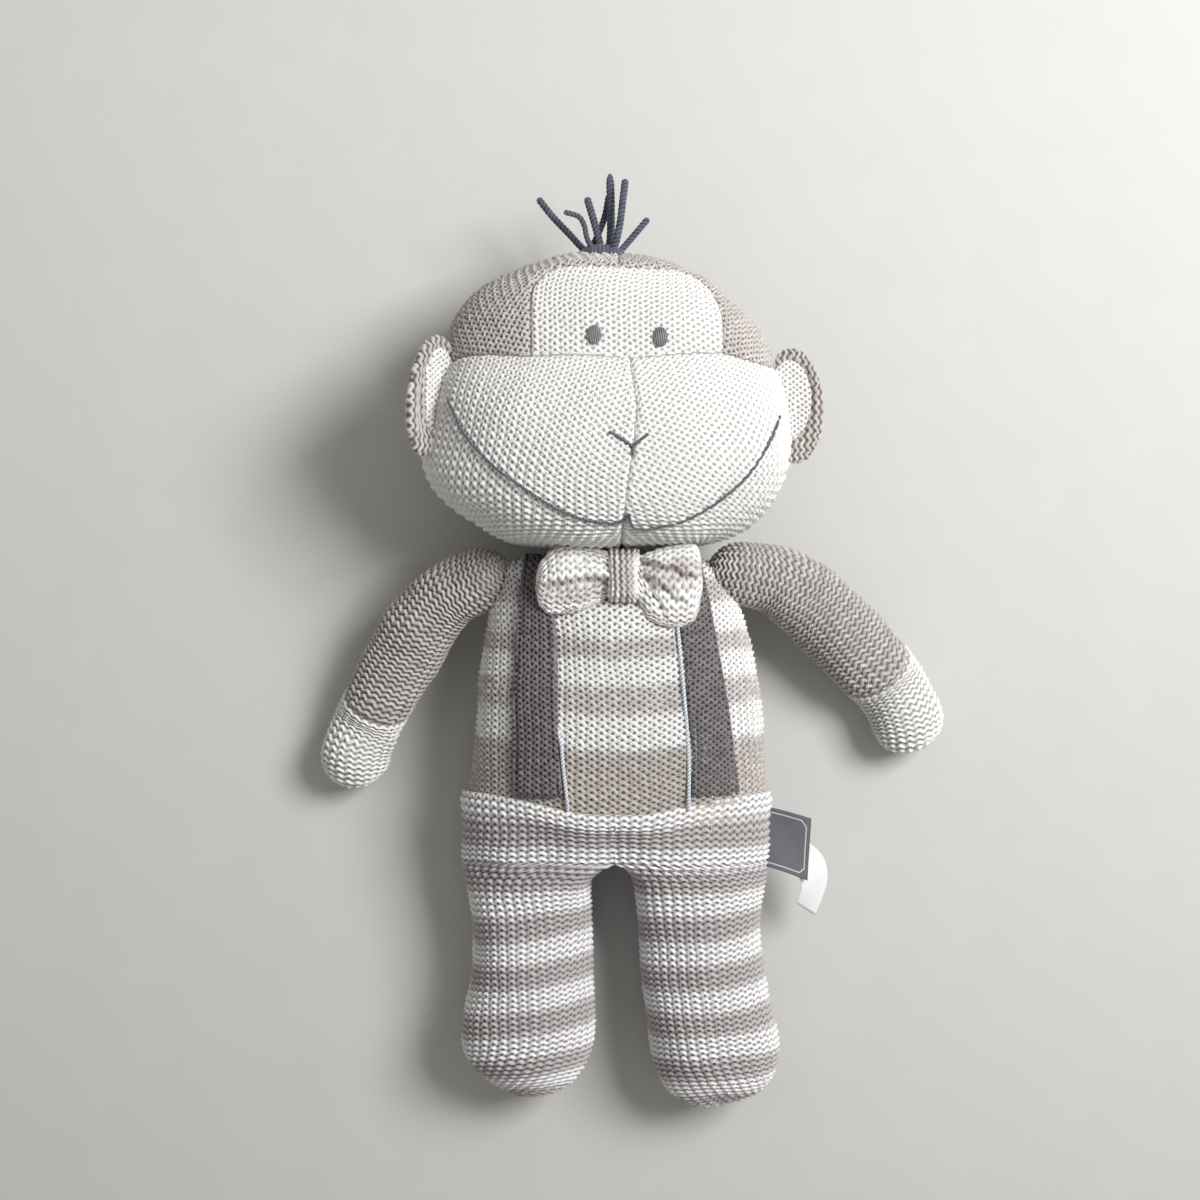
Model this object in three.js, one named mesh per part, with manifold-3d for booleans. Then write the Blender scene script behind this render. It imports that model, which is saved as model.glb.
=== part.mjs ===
// Knitted toy monkey with a bow, braces and striped trousers, lying on its back.
// Millimetres. +Z is up, +Y runs from the feet to the head, +X is the viewer's right.

import * as THREE from 'three';
import { mergeVertices } from 'three/addons/utils/BufferGeometryUtils.js';
import Module from 'manifold-3d';

const wasm = await Module();
wasm.setup();

// Clearances and cloth
const gap = 0.4;
const wall = 2.4;
const floorCut = 0.5;
const seamGap = 0.3;

// Faces round a ball, and steps along a seam's rounded corner
const ballSides = 12;
const cornerSteps = 5;
// Inner surfaces are made of fewer faces than the outer ones
const innerCoarse = 2;
const armCoarse = 1.25;

// Body, from the neck seam down to the crotch
const torso = {
  centreX: 6.5,
  topY: 20.4,
  length: 128.4,
  width: 126.6,
  depth: 72,
  hemDrop: 105,
  centreShift: [[0, -3.2], [0.17, -0.8], [0.3, 0.6], [0.7, 1.2], [1, -0.2]],
  widthShare: [[0, 0.75], [0.17, 0.82], [0.3, 0.87], [0.5, 0.92], [0.7, 0.945], [0.85, 0.985], [1, 1]],
  depthShare: [[0, 0.86], [0.2, 0.93], [0.5, 1], [0.75, 0.95], [1, 0.82]],
  shoulderRound: 9,
  neckRound: 30,
  hipRound: 14,
  seatRound: 20,
  faces: { sides: 22, ends: 3, body: 6 },
};

// Head: a cranium and a muzzle that bulges in front of it
const head = {
  height: 120.2,
  centreX: 2.5,
  craniumWidth: 133,
  craniumDepth: 87,
  crownRound: 46,
  napeRound: 44,
  muzzleWidth: 149,
  muzzleDepth: 88,
  muzzleTop: 86,
  muzzleCentreZ: 56,
  chinTuck: 10,
  chinRound: 29,
  browRound: 26,
  browHeight: 75.6,
  sideSeamZ: 38,
  seamShift: 9.5,
  seamTurn: 11,
  craniumRoute: [[1, -1.5, 4], [0.62, 0, 0], [0.3, 0.5, 0], [0.0125, 1.5, 0]],
  muzzleRoute: [[1, 1.5, 0.1], [0.6, 0.8, 0], [0.3, 0, 0.3], [0, 1, 1]],
  muzzleWidthShare: [[0, 0.84], [0.25, 0.94], [0.5, 1], [0.75, 1], [1, 0.98]],
  muzzleDepthShare: [[0, 0.8], [0.3, 0.95], [0.6, 1], [1, 0.8]],
  craniumFaces: { sides: 22, ends: 4, body: 3 },
  muzzleFaces: { sides: 22, ends: 4, body: 4 },
};

// Cream patch on the forehead, measured from the head's centre line and the brow seam
const forehead = {
  left: 29,
  right: 47.5,
  height: 37.4,
  cornerRound: 17,
};

const neck = { radius: 13, centreZ: 40, rise: 0.4 };

const face = {
  eyeWidth: 5.6,
  eyeHeight: 7.6,
  eyeStand: 2.4,
  eyeRise: 7.2,
  eyeLeftX: -4.7,
  eyeRightX: 21.1,
  threadRadius: 0.6,
  smileRadius: 0.7,
  noseStitches: [
    [[1, -31.2], [5.4, -33.6], [9.9, -36.7]],
    [[16.1, -32], [13, -34.2], [9.9, -36.7]],
    [[9.9, -35.8], [10.2, -38.5], [10.3, -40.4]],
  ],
  smile: [
    [-60.5, -18], [-56, -29], [-47, -40], [-33.5, -51], [-17.8, -60.5], [-2.5, -64.8],
    [8.8, -62.4], [21, -66], [36.7, -61.5], [48.5, -53.2], [59.5, -41], [66.8, -24],
  ],
};

// Ears, oval, sewn on by one edge, which they fold about
const ear = { height: 47, width: 27, thickness: 7.5, rootHeight: 58, patchShare: 0.8, foldAt: 3.4 };
const earSides = [
  { name: 'left', side: -1, lean: 48, rootZ: 59, rise: 2, foldBack: 20, foldFront: 0 },
  { name: 'right', side: 1, lean: -14, rootZ: 44, rise: 0, foldBack: 15, foldFront: 15 },
];

// Tuft of twisted yarn on the crown: base and tip offsets from the knob's centre
const tuft = { x: 1.5, z: 50, sink: 2.5, knobRadius: 7.5, strandGap: 0.4 };
const strands = [
  { radius: 1.9, route: [[-6.4, 4.6, -2.2], [-14, 12, -3.5], [-21, 18.5, -4], [-26.7, 25.1, -3]] },
  { radius: 1.7, route: [[-4.4, 6, 3.2], [-6.2, 10.5, 5], [-8, 15.8, 6], [-11.5, 18.4, 7], [-15.7, 19, 7]] },
  { radius: 1.9, route: [[-1.6, 7.8, -1.8], [-3.1, 14.1, -3], [-6.4, 25.1, -4.4]] },
  { radius: 1.8, route: [[-0.6, 7, 4.2], [0.4, 12, 5.6], [2.2, 20, 6], [3.4, 31.2, 5]] },
  { radius: 2.3, route: [[3, 7.7, -2], [3.4, 20, -2], [3.4, 33.2, -3]] },
  { radius: 1.9, route: [[4.6, 6.2, 3.6], [6.9, 14, 5.2], [8.6, 24, 5], [9.3, 31.5, 3.6]] },
  { radius: 1.7, route: [[7.2, 3.9, -2.2], [11, 8.4, -3.2], [16.8, 15.7, -3.6]] },
];

// Arms: each route runs from the shoulder ball's centre down to the hand's tip
const arm = {
  depthShare: 0.95,
  handZ: 13.4,
  shoulderZ: 36,
  proud: 4,
  swingOpen: 50,
  swingClose: 8,
  tipRound: 1.12,
  faces: { sides: 14, ends: 4, body: 7 },
};
const arms = [
  {
    name: 'left',
    side: -1,
    ball: 12.7,
    drop: 11.6,
    wristAt: 0.7,
    swell: [[0, 1], [0.16, 1], [0.28, 1.12], [0.45, 1.2], [0.7, 1.11], [1, 1.1]],
    route: [
      [13.8, -6.9], [25.7, -19.6], [33.5, -32.6], [42.7, -48.4], [49, -60.5], [53.8, -70.8], [57, -88],
    ],
  },
  {
    name: 'right',
    side: 1,
    ball: 13,
    drop: 9.4,
    wristAt: 0.7,
    swell: [[0, 1], [0.16, 1], [0.28, 1.18], [0.45, 1.25], [0.7, 1.2], [1, 1.16]],
    route: [[15.5, -3], [28.3, -11], [42.5, -23], [55.3, -36.5], [64, -46], [71.6, -59], [75, -75]],
  },
];

// Legs: the hip's cross axis lies in the middle of the leg's round top end
const hip = { drop: 16, radius: 23, axisZ: 24, forward: 75, back: 15, sideGap: 0.6, lipGap: 1.6, turns: 8 };
const leg = {
  depth: 51,
  topRound: 7,
  footRound: 27,
  holeWidth: 24,
  holeDepth: 16,
  faces: { sides: 18, ends: 4, body: 6 },
};
const legs = [
  {
    name: 'left',
    side: -1,
    centreX: -30.6,
    length: 107,
    width: 54.6,
    shiftX: [0, 1.8, 1.9, 0.8, 1.8],
    widthShare: [[0, 0.95], [0.3, 0.915], [0.55, 0.915], [0.75, 1], [1, 0.98]],
  },
  {
    name: 'right',
    side: 1,
    centreX: 41.3,
    length: 110.5,
    width: 54.2,
    shiftX: [0, 0.6, 3.4, 7, 9.2],
    widthShare: [[0, 1.02], [0.3, 0.93], [0.55, 0.94], [0.75, 1], [1, 1]],
  },
];

// Braces and their piping: centre line offsets from the body's axis, by drop from the neck seam
const braces = { thickness: 1.8, room: 2.2, topDrop: 6, bottomDrop: 103, across: 4, along: 12 };
const braceSides = [
  {
    name: 'left',
    side: -1,
    inner: [[0, -27.5], [0.25, -24], [0.6, -23], [0.8, -22], [1, -20]],
    outer: [[0, -37.9], [0.3, -40], [0.6, -41.3], [1, -41.2]],
  },
  {
    name: 'right',
    side: 1,
    inner: [[0, 23.5], [0.25, 25], [0.6, 28], [0.8, 29.4], [1, 29.6]],
    outer: [[0, 35], [0.3, 40], [0.6, 45], [0.8, 47.6], [1, 50.4]],
  },
];
const piping = { radius: 0.8, fromDrop: 28, steps: 14 };

// Bow at the throat
const bow = {
  knotWidth: 12.8,
  knotHeight: 20,
  knotDepth: 15,
  knotX: 3.1,
  knotRounds: { startWidth: 3, startDepth: 5, endWidth: 3, endDepth: 5 },
  knotFaces: { sides: 14, ends: 2, body: 4 },
  topDrop: 1,
  loopDepth: 12,
  loopRounds: { startWidth: 2, startDepth: 3, endWidth: 9, endDepth: 6 },
  loopFaces: { sides: 14, ends: 3, body: 4 },
};
const bowLoops = [
  { name: 'left', side: -1, length: 28, rootHeight: 17, endHeight: 27, lean: -1.5 },
  { name: 'right', side: 1, length: 25.5, rootHeight: 19, endHeight: 31, lean: -4.5 },
];

// Labels sewn into the side seam of the trousers
const sideLabel = {
  width: 19,
  height: 25,
  thickness: 0.8,
  topDrop: 106.8,
  fall: 4.4,
  z: 30,
  curl: 0,
  chamfer: 2.6,
};
const careLabel = {
  width: 26,
  height: 25,
  thickness: 0.6,
  topDrop: 113.5,
  fall: 12,
  z: 23.5,
  curl: 5,
  chamfer: 0,
};
const labelSteps = { across: 2, along: 8 };

const colours = {
  cream: 0xece9e2,
  taupe: 0xa9a29c,
  sleeve: 0xa49c96,
  beige: 0xaca39b,
  brace: 0x6c6867,
  piping: 0xe4ebf3,
  bow: 0xe6e2dc,
  knot: 0x8b8583,
  thread: 0x565664,
  yarn: 0x4b5064,
  fill: 0xf4f3f0,
  label: 0x6b6a70,
  care: 0xf6f6f6,
};

const degrees = Math.PI / 180;
const up = new THREE.Vector3(0, 0, 1);
const down = new THREE.Vector3(0, -1, 0);
const across = new THREE.Vector3(1, 0, 0);
const alongY = new THREE.Vector3(0, 1, 0);

// Smooth value at u from a short list of [place, value] pairs
function profile(keys, u) {
  const last = keys.length - 1;
  if (u <= keys[0][0]) return keys[0][1];
  if (u >= keys[last][0]) return keys[last][1];
  const i = keys.findIndex((key) => key[0] > u) - 1;
  const slope = (a, b) => (keys[b][1] - keys[a][1]) / (keys[b][0] - keys[a][0]);
  const step = keys[i + 1][0] - keys[i][0];
  const t = (u - keys[i][0]) / step;
  const slopeIn = slope(Math.max(i - 1, 0), i + 1) * step;
  const slopeOut = slope(i, Math.min(i + 2, last)) * step;
  const a = 2 * t ** 3 - 3 * t ** 2 + 1;
  const b = t ** 3 - 2 * t ** 2 + t;
  const c = t ** 3 - t ** 2;
  return a * keys[i][1] + b * slopeIn + (1 - a) * keys[i + 1][1] + c * slopeOut;
}

// Share of the full section at distance s from an end that rounds off over a length
function dome(s, round) {
  return s >= round ? 1 : Math.sqrt(Math.max(0, 1 - (1 - s / round) ** 2));
}

// Closed surface through rings of points, with one point at each end
function skin(rings, start, end) {
  const count = rings[0].length;
  const points = [start, ...rings.flat(), end];
  const index = [];
  const at = (r, i) => 1 + r * count + (i % count);
  for (let i = 0; i < count; i += 1) {
    index.push(0, at(0, i + 1), at(0, i));
    index.push(points.length - 1, at(rings.length - 1, i), at(rings.length - 1, i + 1));
    for (let r = 0; r < rings.length - 1; r += 1) {
      index.push(at(r, i), at(r, i + 1), at(r + 1, i));
      index.push(at(r, i + 1), at(r + 1, i + 1), at(r + 1, i));
    }
  }
  return closed(points, index);
}

// Geometry from points and corners, turned so that its faces point out
function closed(points, index) {
  let volume = 0;
  for (let i = 0; i < index.length; i += 3) {
    const [a, b, c] = [points[index[i]], points[index[i + 1]], points[index[i + 2]]];
    volume += a.dot(new THREE.Vector3().crossVectors(b, c));
  }
  const turned = volume < 0 ? index.slice().reverse() : index;
  const geometry = new THREE.BufferGeometry().setFromPoints(points);
  geometry.setIndex(turned);
  return geometry;
}

// A stuffed form: an axis with a half width and a half depth along it, rounded off at both ends.
// The sections of a level form all lie square to Y.
class SoftForm {
  constructor(route, halfWidth, halfDepth, rounds, detail, level = false) {
    this.level = level;
    this.curve = new THREE.CatmullRomCurve3(route, false, 'centripetal');
    this.length = this.curve.getLength();
    this.halfWidth = halfWidth;
    this.halfDepth = halfDepth;
    this.rounds = rounds;
    this.detail = detail;
  }

  section(s, inset) {
    const u = THREE.MathUtils.clamp(s / this.length, 0, 1);
    const { startWidth, startDepth, endWidth, endDepth } = this.rounds;
    const fromStart = s - inset;
    const fromEnd = this.length - inset - s;
    const round = (a, b) => dome(fromStart, a - inset) * dome(fromEnd, b - inset);
    const tangent = this.level ? down : this.curve.getTangentAt(u);
    const wide = new THREE.Vector3().crossVectors(up, tangent).normalize();
    return {
      centre: this.curve.getPointAt(u),
      wide,
      deep: new THREE.Vector3().crossVectors(tangent, wide),
      halfWidth: (this.halfWidth(u) - inset) * round(startWidth, endWidth),
      halfDepth: (this.halfDepth(u) - inset) * round(startDepth, endDepth),
    };
  }

  solid(inset = 0, coarse = 1) {
    const sides = Math.round(this.detail.sides / coarse);
    const endSteps = Math.max(2, Math.round(this.detail.ends / coarse));
    const bodySteps = Math.max(3, Math.round(this.detail.body / coarse));
    const first = Math.max(this.rounds.startWidth, this.rounds.startDepth) - inset;
    const last = Math.max(this.rounds.endWidth, this.rounds.endDepth) - inset;
    const length = this.length - 2 * inset;
    const places = [];
    const ease = (i) => 1 - Math.cos((i / endSteps) * Math.PI / 2);
    for (let i = 1; i <= endSteps; i += 1) {
      places.push(first * ease(i));
    }
    for (let i = 1; i < bodySteps; i += 1) {
      places.push(first + (length - first - last) * (i / bodySteps));
    }
    for (let i = endSteps; i >= 1; i -= 1) {
      places.push(length - last * ease(i));
    }
    const rings = places.map((place) => {
      const part = this.section(place + inset, inset);
      return Array.from({ length: sides }, (_, i) => {
        const angle = (i + 0.5) * 2 * Math.PI / sides;
        return part.centre.clone()
          .addScaledVector(part.wide, part.halfWidth * Math.cos(angle))
          .addScaledVector(part.deep, part.halfDepth * Math.sin(angle));
      });
    });
    const start = this.section(inset, inset).centre;
    const end = this.section(this.length - inset, inset).centre;
    return toSolid(skin(rings, start, end));
  }

  // Point on the upper side of a form that lies along Y, lifted off it along its normal
  front(x, y, lift = 0) {
    const height = (px, py) => {
      const part = this.section(this.distanceAt(py), 0);
      const off = THREE.MathUtils.clamp((px - part.centre.x) / part.halfWidth, -0.995, 0.995);
      return part.centre.z + part.halfDepth * Math.sqrt(1 - off * off);
    };
    const step = 0.5;
    const normal = new THREE.Vector3(
      (height(x - step, y) - height(x + step, y)) / (2 * step),
      (height(x, y - step) - height(x, y + step)) / (2 * step),
      1,
    ).normalize();
    return new THREE.Vector3(x, y, height(x, y)).addScaledVector(normal, lift);
  }

  // Distance along the axis at which it passes y
  distanceAt(y) {
    let low = 0;
    let high = 1;
    for (let i = 0; i < 24; i += 1) {
      const middle = (low + high) / 2;
      if (this.curve.getPointAt(middle).y > y) low = middle;
      else high = middle;
    }
    return low * this.length;
  }
}

function toSolid(geometry) {
  const bare = geometry.clone();
  bare.deleteAttribute('normal');
  bare.deleteAttribute('uv');
  const merged = mergeVertices(bare, 1e-4);
  return new wasm.Manifold(new wasm.Mesh({
    numProp: 3,
    vertProperties: new Float32Array(merged.attributes.position.array),
    triVerts: new Uint32Array(merged.index.array),
  }));
}

function toGeometry(solid) {
  const { vertProperties, triVerts } = solid.getMesh();
  const geometry = new THREE.BufferGeometry();
  geometry.setAttribute('position', new THREE.BufferAttribute(new Float32Array(vertProperties), 3));
  geometry.setIndex(new THREE.BufferAttribute(new Uint32Array(triVerts), 1));
  return geometry;
}

function ball(centre, radius) {
  const geometry = new THREE.SphereGeometry(radius, ballSides, Math.round(ballSides * 0.6));
  geometry.translate(centre.x, centre.y, centre.z);
  return toSolid(geometry);
}

// Room round a ball that turns in it: its flat faces stay outside the ball and its gap
function ballRoom(centre, radius) {
  return ball(centre, (radius + gap) / Math.cos(Math.PI / ballSides));
}

// Everything on the side of a plane that its normal points to
function halfSpace(point, normal) {
  const size = 2 * (torso.length + head.height + legs[0].length);
  const geometry = new THREE.BoxGeometry(size, size, size);
  geometry.translate(0, 0, size / 2);
  geometry.applyQuaternion(new THREE.Quaternion().setFromUnitVectors(up, normal.clone().normalize()));
  geometry.translate(point.x, point.y, point.z);
  return toSolid(geometry);
}

// Straight prism: an outline in X and Y from one height to another
function prism(outline, fromZ, toZ) {
  const options = { depth: toZ - fromZ, bevelEnabled: false, curveSegments: cornerSteps };
  const geometry = new THREE.ExtrudeGeometry(outline, options);
  geometry.translate(0, 0, fromZ);
  return toSolid(geometry);
}

// Round thread along a smooth route
function thread(route, radius, steps, sides = 8) {
  const section = new THREE.Shape();
  for (let i = 0; i < sides; i += 1) {
    const angle = (i / sides) * 2 * Math.PI;
    const corner = [radius * Math.cos(angle), radius * Math.sin(angle)];
    if (i === 0) section.moveTo(...corner);
    else section.lineTo(...corner);
  }
  const extrudePath = new THREE.CatmullRomCurve3(route, false, 'centripetal');
  return toSolid(new THREE.ExtrudeGeometry(section, { steps, extrudePath, bevelEnabled: false }));
}

// Sheet of cloth between two layers of a grid of points
function cloth(lower, upper) {
  const rows = lower.length;
  const columns = lower[0].length;
  const points = [...lower.flat(), ...upper.flat()];
  const low = (r, c) => r * columns + c;
  const high = (r, c) => rows * columns + r * columns + c;
  const index = [];
  const quad = (a, b, c, d) => index.push(a, b, c, a, c, d);
  for (let r = 0; r < rows - 1; r += 1) {
    for (let c = 0; c < columns - 1; c += 1) {
      quad(low(r, c), low(r, c + 1), low(r + 1, c + 1), low(r + 1, c));
      quad(high(r, c), high(r + 1, c), high(r + 1, c + 1), high(r, c + 1));
    }
    quad(low(r, 0), low(r + 1, 0), high(r + 1, 0), high(r, 0));
    quad(low(r, columns - 1), high(r, columns - 1), high(r + 1, columns - 1), low(r + 1, columns - 1));
  }
  for (let c = 0; c < columns - 1; c += 1) {
    quad(low(0, c), high(0, c), high(0, c + 1), low(0, c + 1));
    quad(low(rows - 1, c), low(rows - 1, c + 1), high(rows - 1, c + 1), high(rows - 1, c));
  }
  return toSolid(closed(points, index));
}

const floor = halfSpace(new THREE.Vector3(0, 0, 0), new THREE.Vector3(0, 0, -1));
const group = new THREE.Group();

function add(name, solid, colour, roughness = 0.9) {
  const material = new THREE.MeshStandardMaterial({ color: colour, roughness, metalness: 0 });
  const mesh = new THREE.Mesh(toGeometry(solid), material);
  mesh.name = name;
  group.add(mesh);
}

// The largest body of a solid, so that cuts leave no crumbs
function mainBody(solid) {
  const bodies = solid.decompose();
  return bodies.reduce((a, b) => (a.volume() > b.volume() ? a : b));
}

// Forms of the body

function buildTorsoForm() {
  const halfWidth = (u) => torso.width / 2 * profile(torso.widthShare, u);
  const halfDepth = (u) => torso.depth / 2 * profile(torso.depthShare, u);
  const route = [0, 0.25, 0.5, 0.75, 1].map((u) => new THREE.Vector3(
    torso.centreX + profile(torso.centreShift, u),
    torso.topY - torso.length * u,
    halfDepth(u) - floorCut,
  ));
  const rounds = {
    startWidth: torso.shoulderRound,
    startDepth: torso.neckRound,
    endWidth: torso.hipRound,
    endDepth: torso.seatRound,
  };
  return new SoftForm(route, halfWidth, halfDepth, rounds, torso.faces, true);
}

const headBottom = torso.topY + gap;

function buildCraniumForm() {
  const halfDepth = head.craniumDepth / 2;
  const route = head.craniumRoute.map(([height, shiftX, rise]) => new THREE.Vector3(
    head.centreX + shiftX,
    headBottom + head.height * height,
    halfDepth - floorCut + rise,
  ));
  const rounds = {
    startWidth: head.crownRound,
    startDepth: head.crownRound,
    endWidth: head.napeRound,
    endDepth: head.napeRound,
  };
  return new SoftForm(route, () => head.craniumWidth / 2, () => halfDepth, rounds, head.craniumFaces, true);
}

function buildMuzzleForm() {
  const route = head.muzzleRoute.map(([height, shiftX, tuck]) => new THREE.Vector3(
    head.centreX + shiftX,
    headBottom + head.muzzleTop * height,
    head.muzzleCentreZ - head.chinTuck * tuck,
  ));
  const rounds = {
    startWidth: head.browRound * 0.4,
    startDepth: head.browRound,
    endWidth: head.chinRound,
    endDepth: head.chinRound,
  };
  const halfWidth = (u) => head.muzzleWidth / 2 * profile(head.muzzleWidthShare, u);
  const halfDepth = (u) => head.muzzleDepth / 2 * profile(head.muzzleDepthShare, u);
  return new SoftForm(route, halfWidth, halfDepth, rounds, head.muzzleFaces, true);
}

const torsoForm = buildTorsoForm();
const craniumForm = buildCraniumForm();
const muzzleForm = buildMuzzleForm();
const neckCentre = new THREE.Vector3(torso.centreX - 2, torso.topY + neck.rise, neck.centreZ);
const hipY = torso.topY - torso.length - hip.drop;
const hemY = torso.topY - torso.hemDrop;

// Place of a shoulder: on the body's side, a little outside it
function shoulderCentre(spec) {
  const y = torso.topY - spec.drop;
  const part = torsoForm.section(torsoForm.distanceAt(y), 0);
  return new THREE.Vector3(part.centre.x + spec.side * (part.halfWidth + arm.proud), y, arm.shoulderZ);
}

function buildArmForm(spec) {
  const centre = shoulderCentre(spec);
  const radius = (u) => spec.ball * profile(spec.swell, u);
  const flatten = (u) => THREE.MathUtils.lerp(1, arm.depthShare, THREE.MathUtils.smoothstep(u, 0.15, 0.3));
  const beyond = spec.route.map(([dx, dy], i) => new THREE.Vector3(
    centre.x + spec.side * dx,
    centre.y + dy,
    THREE.MathUtils.lerp(arm.shoulderZ, arm.handZ, Math.min(1, (i + 1) / (spec.route.length - 2))),
  ));
  const inward = centre.clone().sub(beyond[0]).setLength(spec.ball);
  const route = [centre.clone().add(inward), centre, ...beyond];
  const rounds = {
    startWidth: spec.ball,
    startDepth: spec.ball,
    endWidth: spec.ball * arm.tipRound,
    endDepth: spec.ball * arm.tipRound,
  };
  return new SoftForm(route, radius, (u) => radius(u) * flatten(u), rounds, arm.faces);
}

function buildLegForm(spec) {
  const topY = hipY + hip.radius;
  const share = [0, 0.25, 0.5, 0.75, 1];
  const swell = (u) => THREE.MathUtils.smoothstep(u, 0.2, 0.6);
  const halfDepth = (u) => THREE.MathUtils.lerp(hip.radius, leg.depth / 2, swell(u));
  const route = share.map((u, i) => new THREE.Vector3(
    spec.centreX + spec.shiftX[i],
    topY - spec.length * u,
    u < 0.25 ? hip.axisZ : Math.max(hip.axisZ, halfDepth(u) - floorCut),
  ));
  const rounds = {
    startWidth: leg.topRound,
    startDepth: hip.radius,
    endWidth: leg.footRound,
    endDepth: leg.footRound,
  };
  const halfWidth = (u) => spec.width / 2 * profile(spec.widthShare, u);
  return new SoftForm(route, halfWidth, halfDepth, rounds, leg.faces, true);
}

// Room that a leg needs while it swings about the hip's cross axis
function legRoom(spec) {
  const reach = 90;
  const radius = hip.radius + gap;
  const front = radius + hip.lipGap;
  const normal = (angle) => [Math.sin(angle * degrees), Math.cos(angle * degrees)];
  const [frontY, frontZ] = normal(hip.forward);
  const outline = new THREE.Shape();
  outline.moveTo(-reach, reach);
  outline.lineTo((front - frontZ * reach) / frontY, reach);
  outline.lineTo(front * frontY, front * frontZ);
  const sweep = 180 - hip.back - hip.forward;
  const outside = radius / Math.cos(sweep * degrees / hip.turns / 2);
  for (let i = 0; i <= hip.turns; i += 1) {
    const [y, z] = normal(hip.forward + sweep * i / hip.turns);
    outline.lineTo(outside * y, outside * z);
  }
  outline.lineTo(-reach, -reach);
  const geometry = new THREE.ExtrudeGeometry(outline, { depth: 1, bevelEnabled: false });
  // The outline's X becomes the row's Y, its Y becomes Z, and the prism runs along X
  const matrix = new THREE.Matrix4().makeBasis(alongY, up, across);
  const inner = spec.centreX - spec.side * (spec.width * spec.widthShare[0][1] / 2 + hip.sideGap);
  const outer = spec.centreX + spec.side * spec.width;
  geometry.scale(1, 1, Math.abs(outer - inner));
  geometry.applyMatrix4(matrix);
  geometry.translate(Math.min(inner, outer), hipY, hip.axisZ);
  return toSolid(geometry);
}

// Copy of a solid turned by an angle in degrees about an axis through a point
function turned(solid, point, axis, angle) {
  const spin = new THREE.Matrix4().makeTranslation(point)
    .multiply(new THREE.Matrix4().makeRotationAxis(axis, angle * degrees))
    .multiply(new THREE.Matrix4().makeTranslation(point.clone().negate()));
  return solid.transform(spin.elements);
}

// Room that an arm needs in the body's side: its ball, and the arm at both ends of its swing
function socket(centre, spec, form) {
  const limb = form.solid(-2 * gap, armCoarse);
  return ballRoom(centre, spec.ball)
    .add(turned(limb, centre, up, spec.side * arm.swingOpen))
    .add(turned(limb, centre, up, -spec.side * arm.swingClose));
}

const armForms = arms.map(buildArmForm);
const legForms = legs.map(buildLegForm);
const sockets = arms.map((spec, i) => socket(shoulderCentre(spec), spec, armForms[i]));
const neckSocket = ballRoom(neckCentre, neck.radius);

// Body: sweater front and back, trouser seat, stuffing

function buildBody() {
  const outer = torsoForm.solid();
  const inner = torsoForm.solid(wall, innerCoarse);
  const stuffing = torsoForm.solid(wall + gap, innerCoarse);
  let room = floor.add(neckSocket);
  [...sockets, ...legs.map(legRoom)].forEach((space) => {
    room = room.add(space);
  });
  const shell = outer.subtract(inner).subtract(room);
  const above = halfSpace(new THREE.Vector3(0, hemY + seamGap / 2, 0), new THREE.Vector3(0, 1, 0));
  const below = halfSpace(new THREE.Vector3(0, hemY - seamGap / 2, 0), new THREE.Vector3(0, -1, 0));
  const seamZ = torso.depth / 2;
  const upper = halfSpace(new THREE.Vector3(0, 0, seamZ + seamGap / 2), up);
  const lower = halfSpace(new THREE.Vector3(0, 0, seamZ - seamGap / 2), up.clone().negate());
  add('sweater_front', mainBody(shell.intersect(above).intersect(upper)), colours.beige);
  add('sweater_back', mainBody(shell.intersect(above).intersect(lower)), colours.beige);
  add('trouser_seat', mainBody(shell.intersect(below)), colours.taupe);
  add('body_stuffing', mainBody(stuffing.subtract(room)), colours.fill);
}

// Legs: knitted tube and stuffing

function buildLegs() {
  legs.forEach((spec, i) => {
    const form = legForms[i];
    const topY = hipY + hip.radius;
    const hole = new THREE.BoxGeometry(leg.holeWidth, leg.holeDepth, leg.holeDepth);
    hole.translate(spec.centreX, topY, hip.axisZ);
    const shell = form.solid().subtract(form.solid(wall, innerCoarse));
    const leftOver = mainBody(shell.subtract(toSolid(hole)).subtract(floor));
    add(`trouser_leg_${spec.name}`, leftOver, colours.taupe);
    add(`leg_stuffing_${spec.name}`, form.solid(wall + gap, innerCoarse).subtract(floor), colours.fill);
  });
}

// Arms: sleeve, hand, shoulder wad and stuffing

function buildArms() {
  arms.forEach((spec, i) => {
    const form = armForms[i];
    const cut = form.section(form.length * spec.wristAt, 0);
    const along = form.curve.getTangentAt(spec.wristAt);
    const before = halfSpace(cut.centre.clone().addScaledVector(along, -seamGap / 2), along.clone().negate());
    const after = halfSpace(cut.centre.clone().addScaledVector(along, seamGap / 2), along);
    const centre = shoulderCentre(spec);
    const shell = form.solid().subtract(form.solid(wall, armCoarse)).subtract(floor);
    const wad = spec.ball - wall - 3 * gap;
    add(`sleeve_${spec.name}`, mainBody(shell.intersect(before)), colours.sleeve);
    add(`hand_${spec.name}`, mainBody(shell.intersect(after)), colours.cream);
    add(`shoulder_wad_${spec.name}`, ball(centre, wad), colours.fill);
    const stuffing = form.solid(wall + gap, armCoarse).subtract(floor).subtract(ballRoom(centre, wad));
    add(`arm_stuffing_${spec.name}`, mainBody(stuffing), colours.fill);
  });
}

// Head: four panels over one stuffing

const tuftCentre = new THREE.Vector3(tuft.x, headBottom + head.height - tuft.sink, tuft.z);
const browY = headBottom + head.browHeight;

function browLine(grow) {
  const reach = head.muzzleWidth;
  const outline = new THREE.Shape();
  outline.moveTo(head.centreX - reach, browY + grow);
  outline.lineTo(head.centreX + reach, browY + grow);
  outline.lineTo(head.centreX + reach, headBottom - reach);
  outline.lineTo(head.centreX - reach, headBottom - reach);
  return outline;
}

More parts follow.
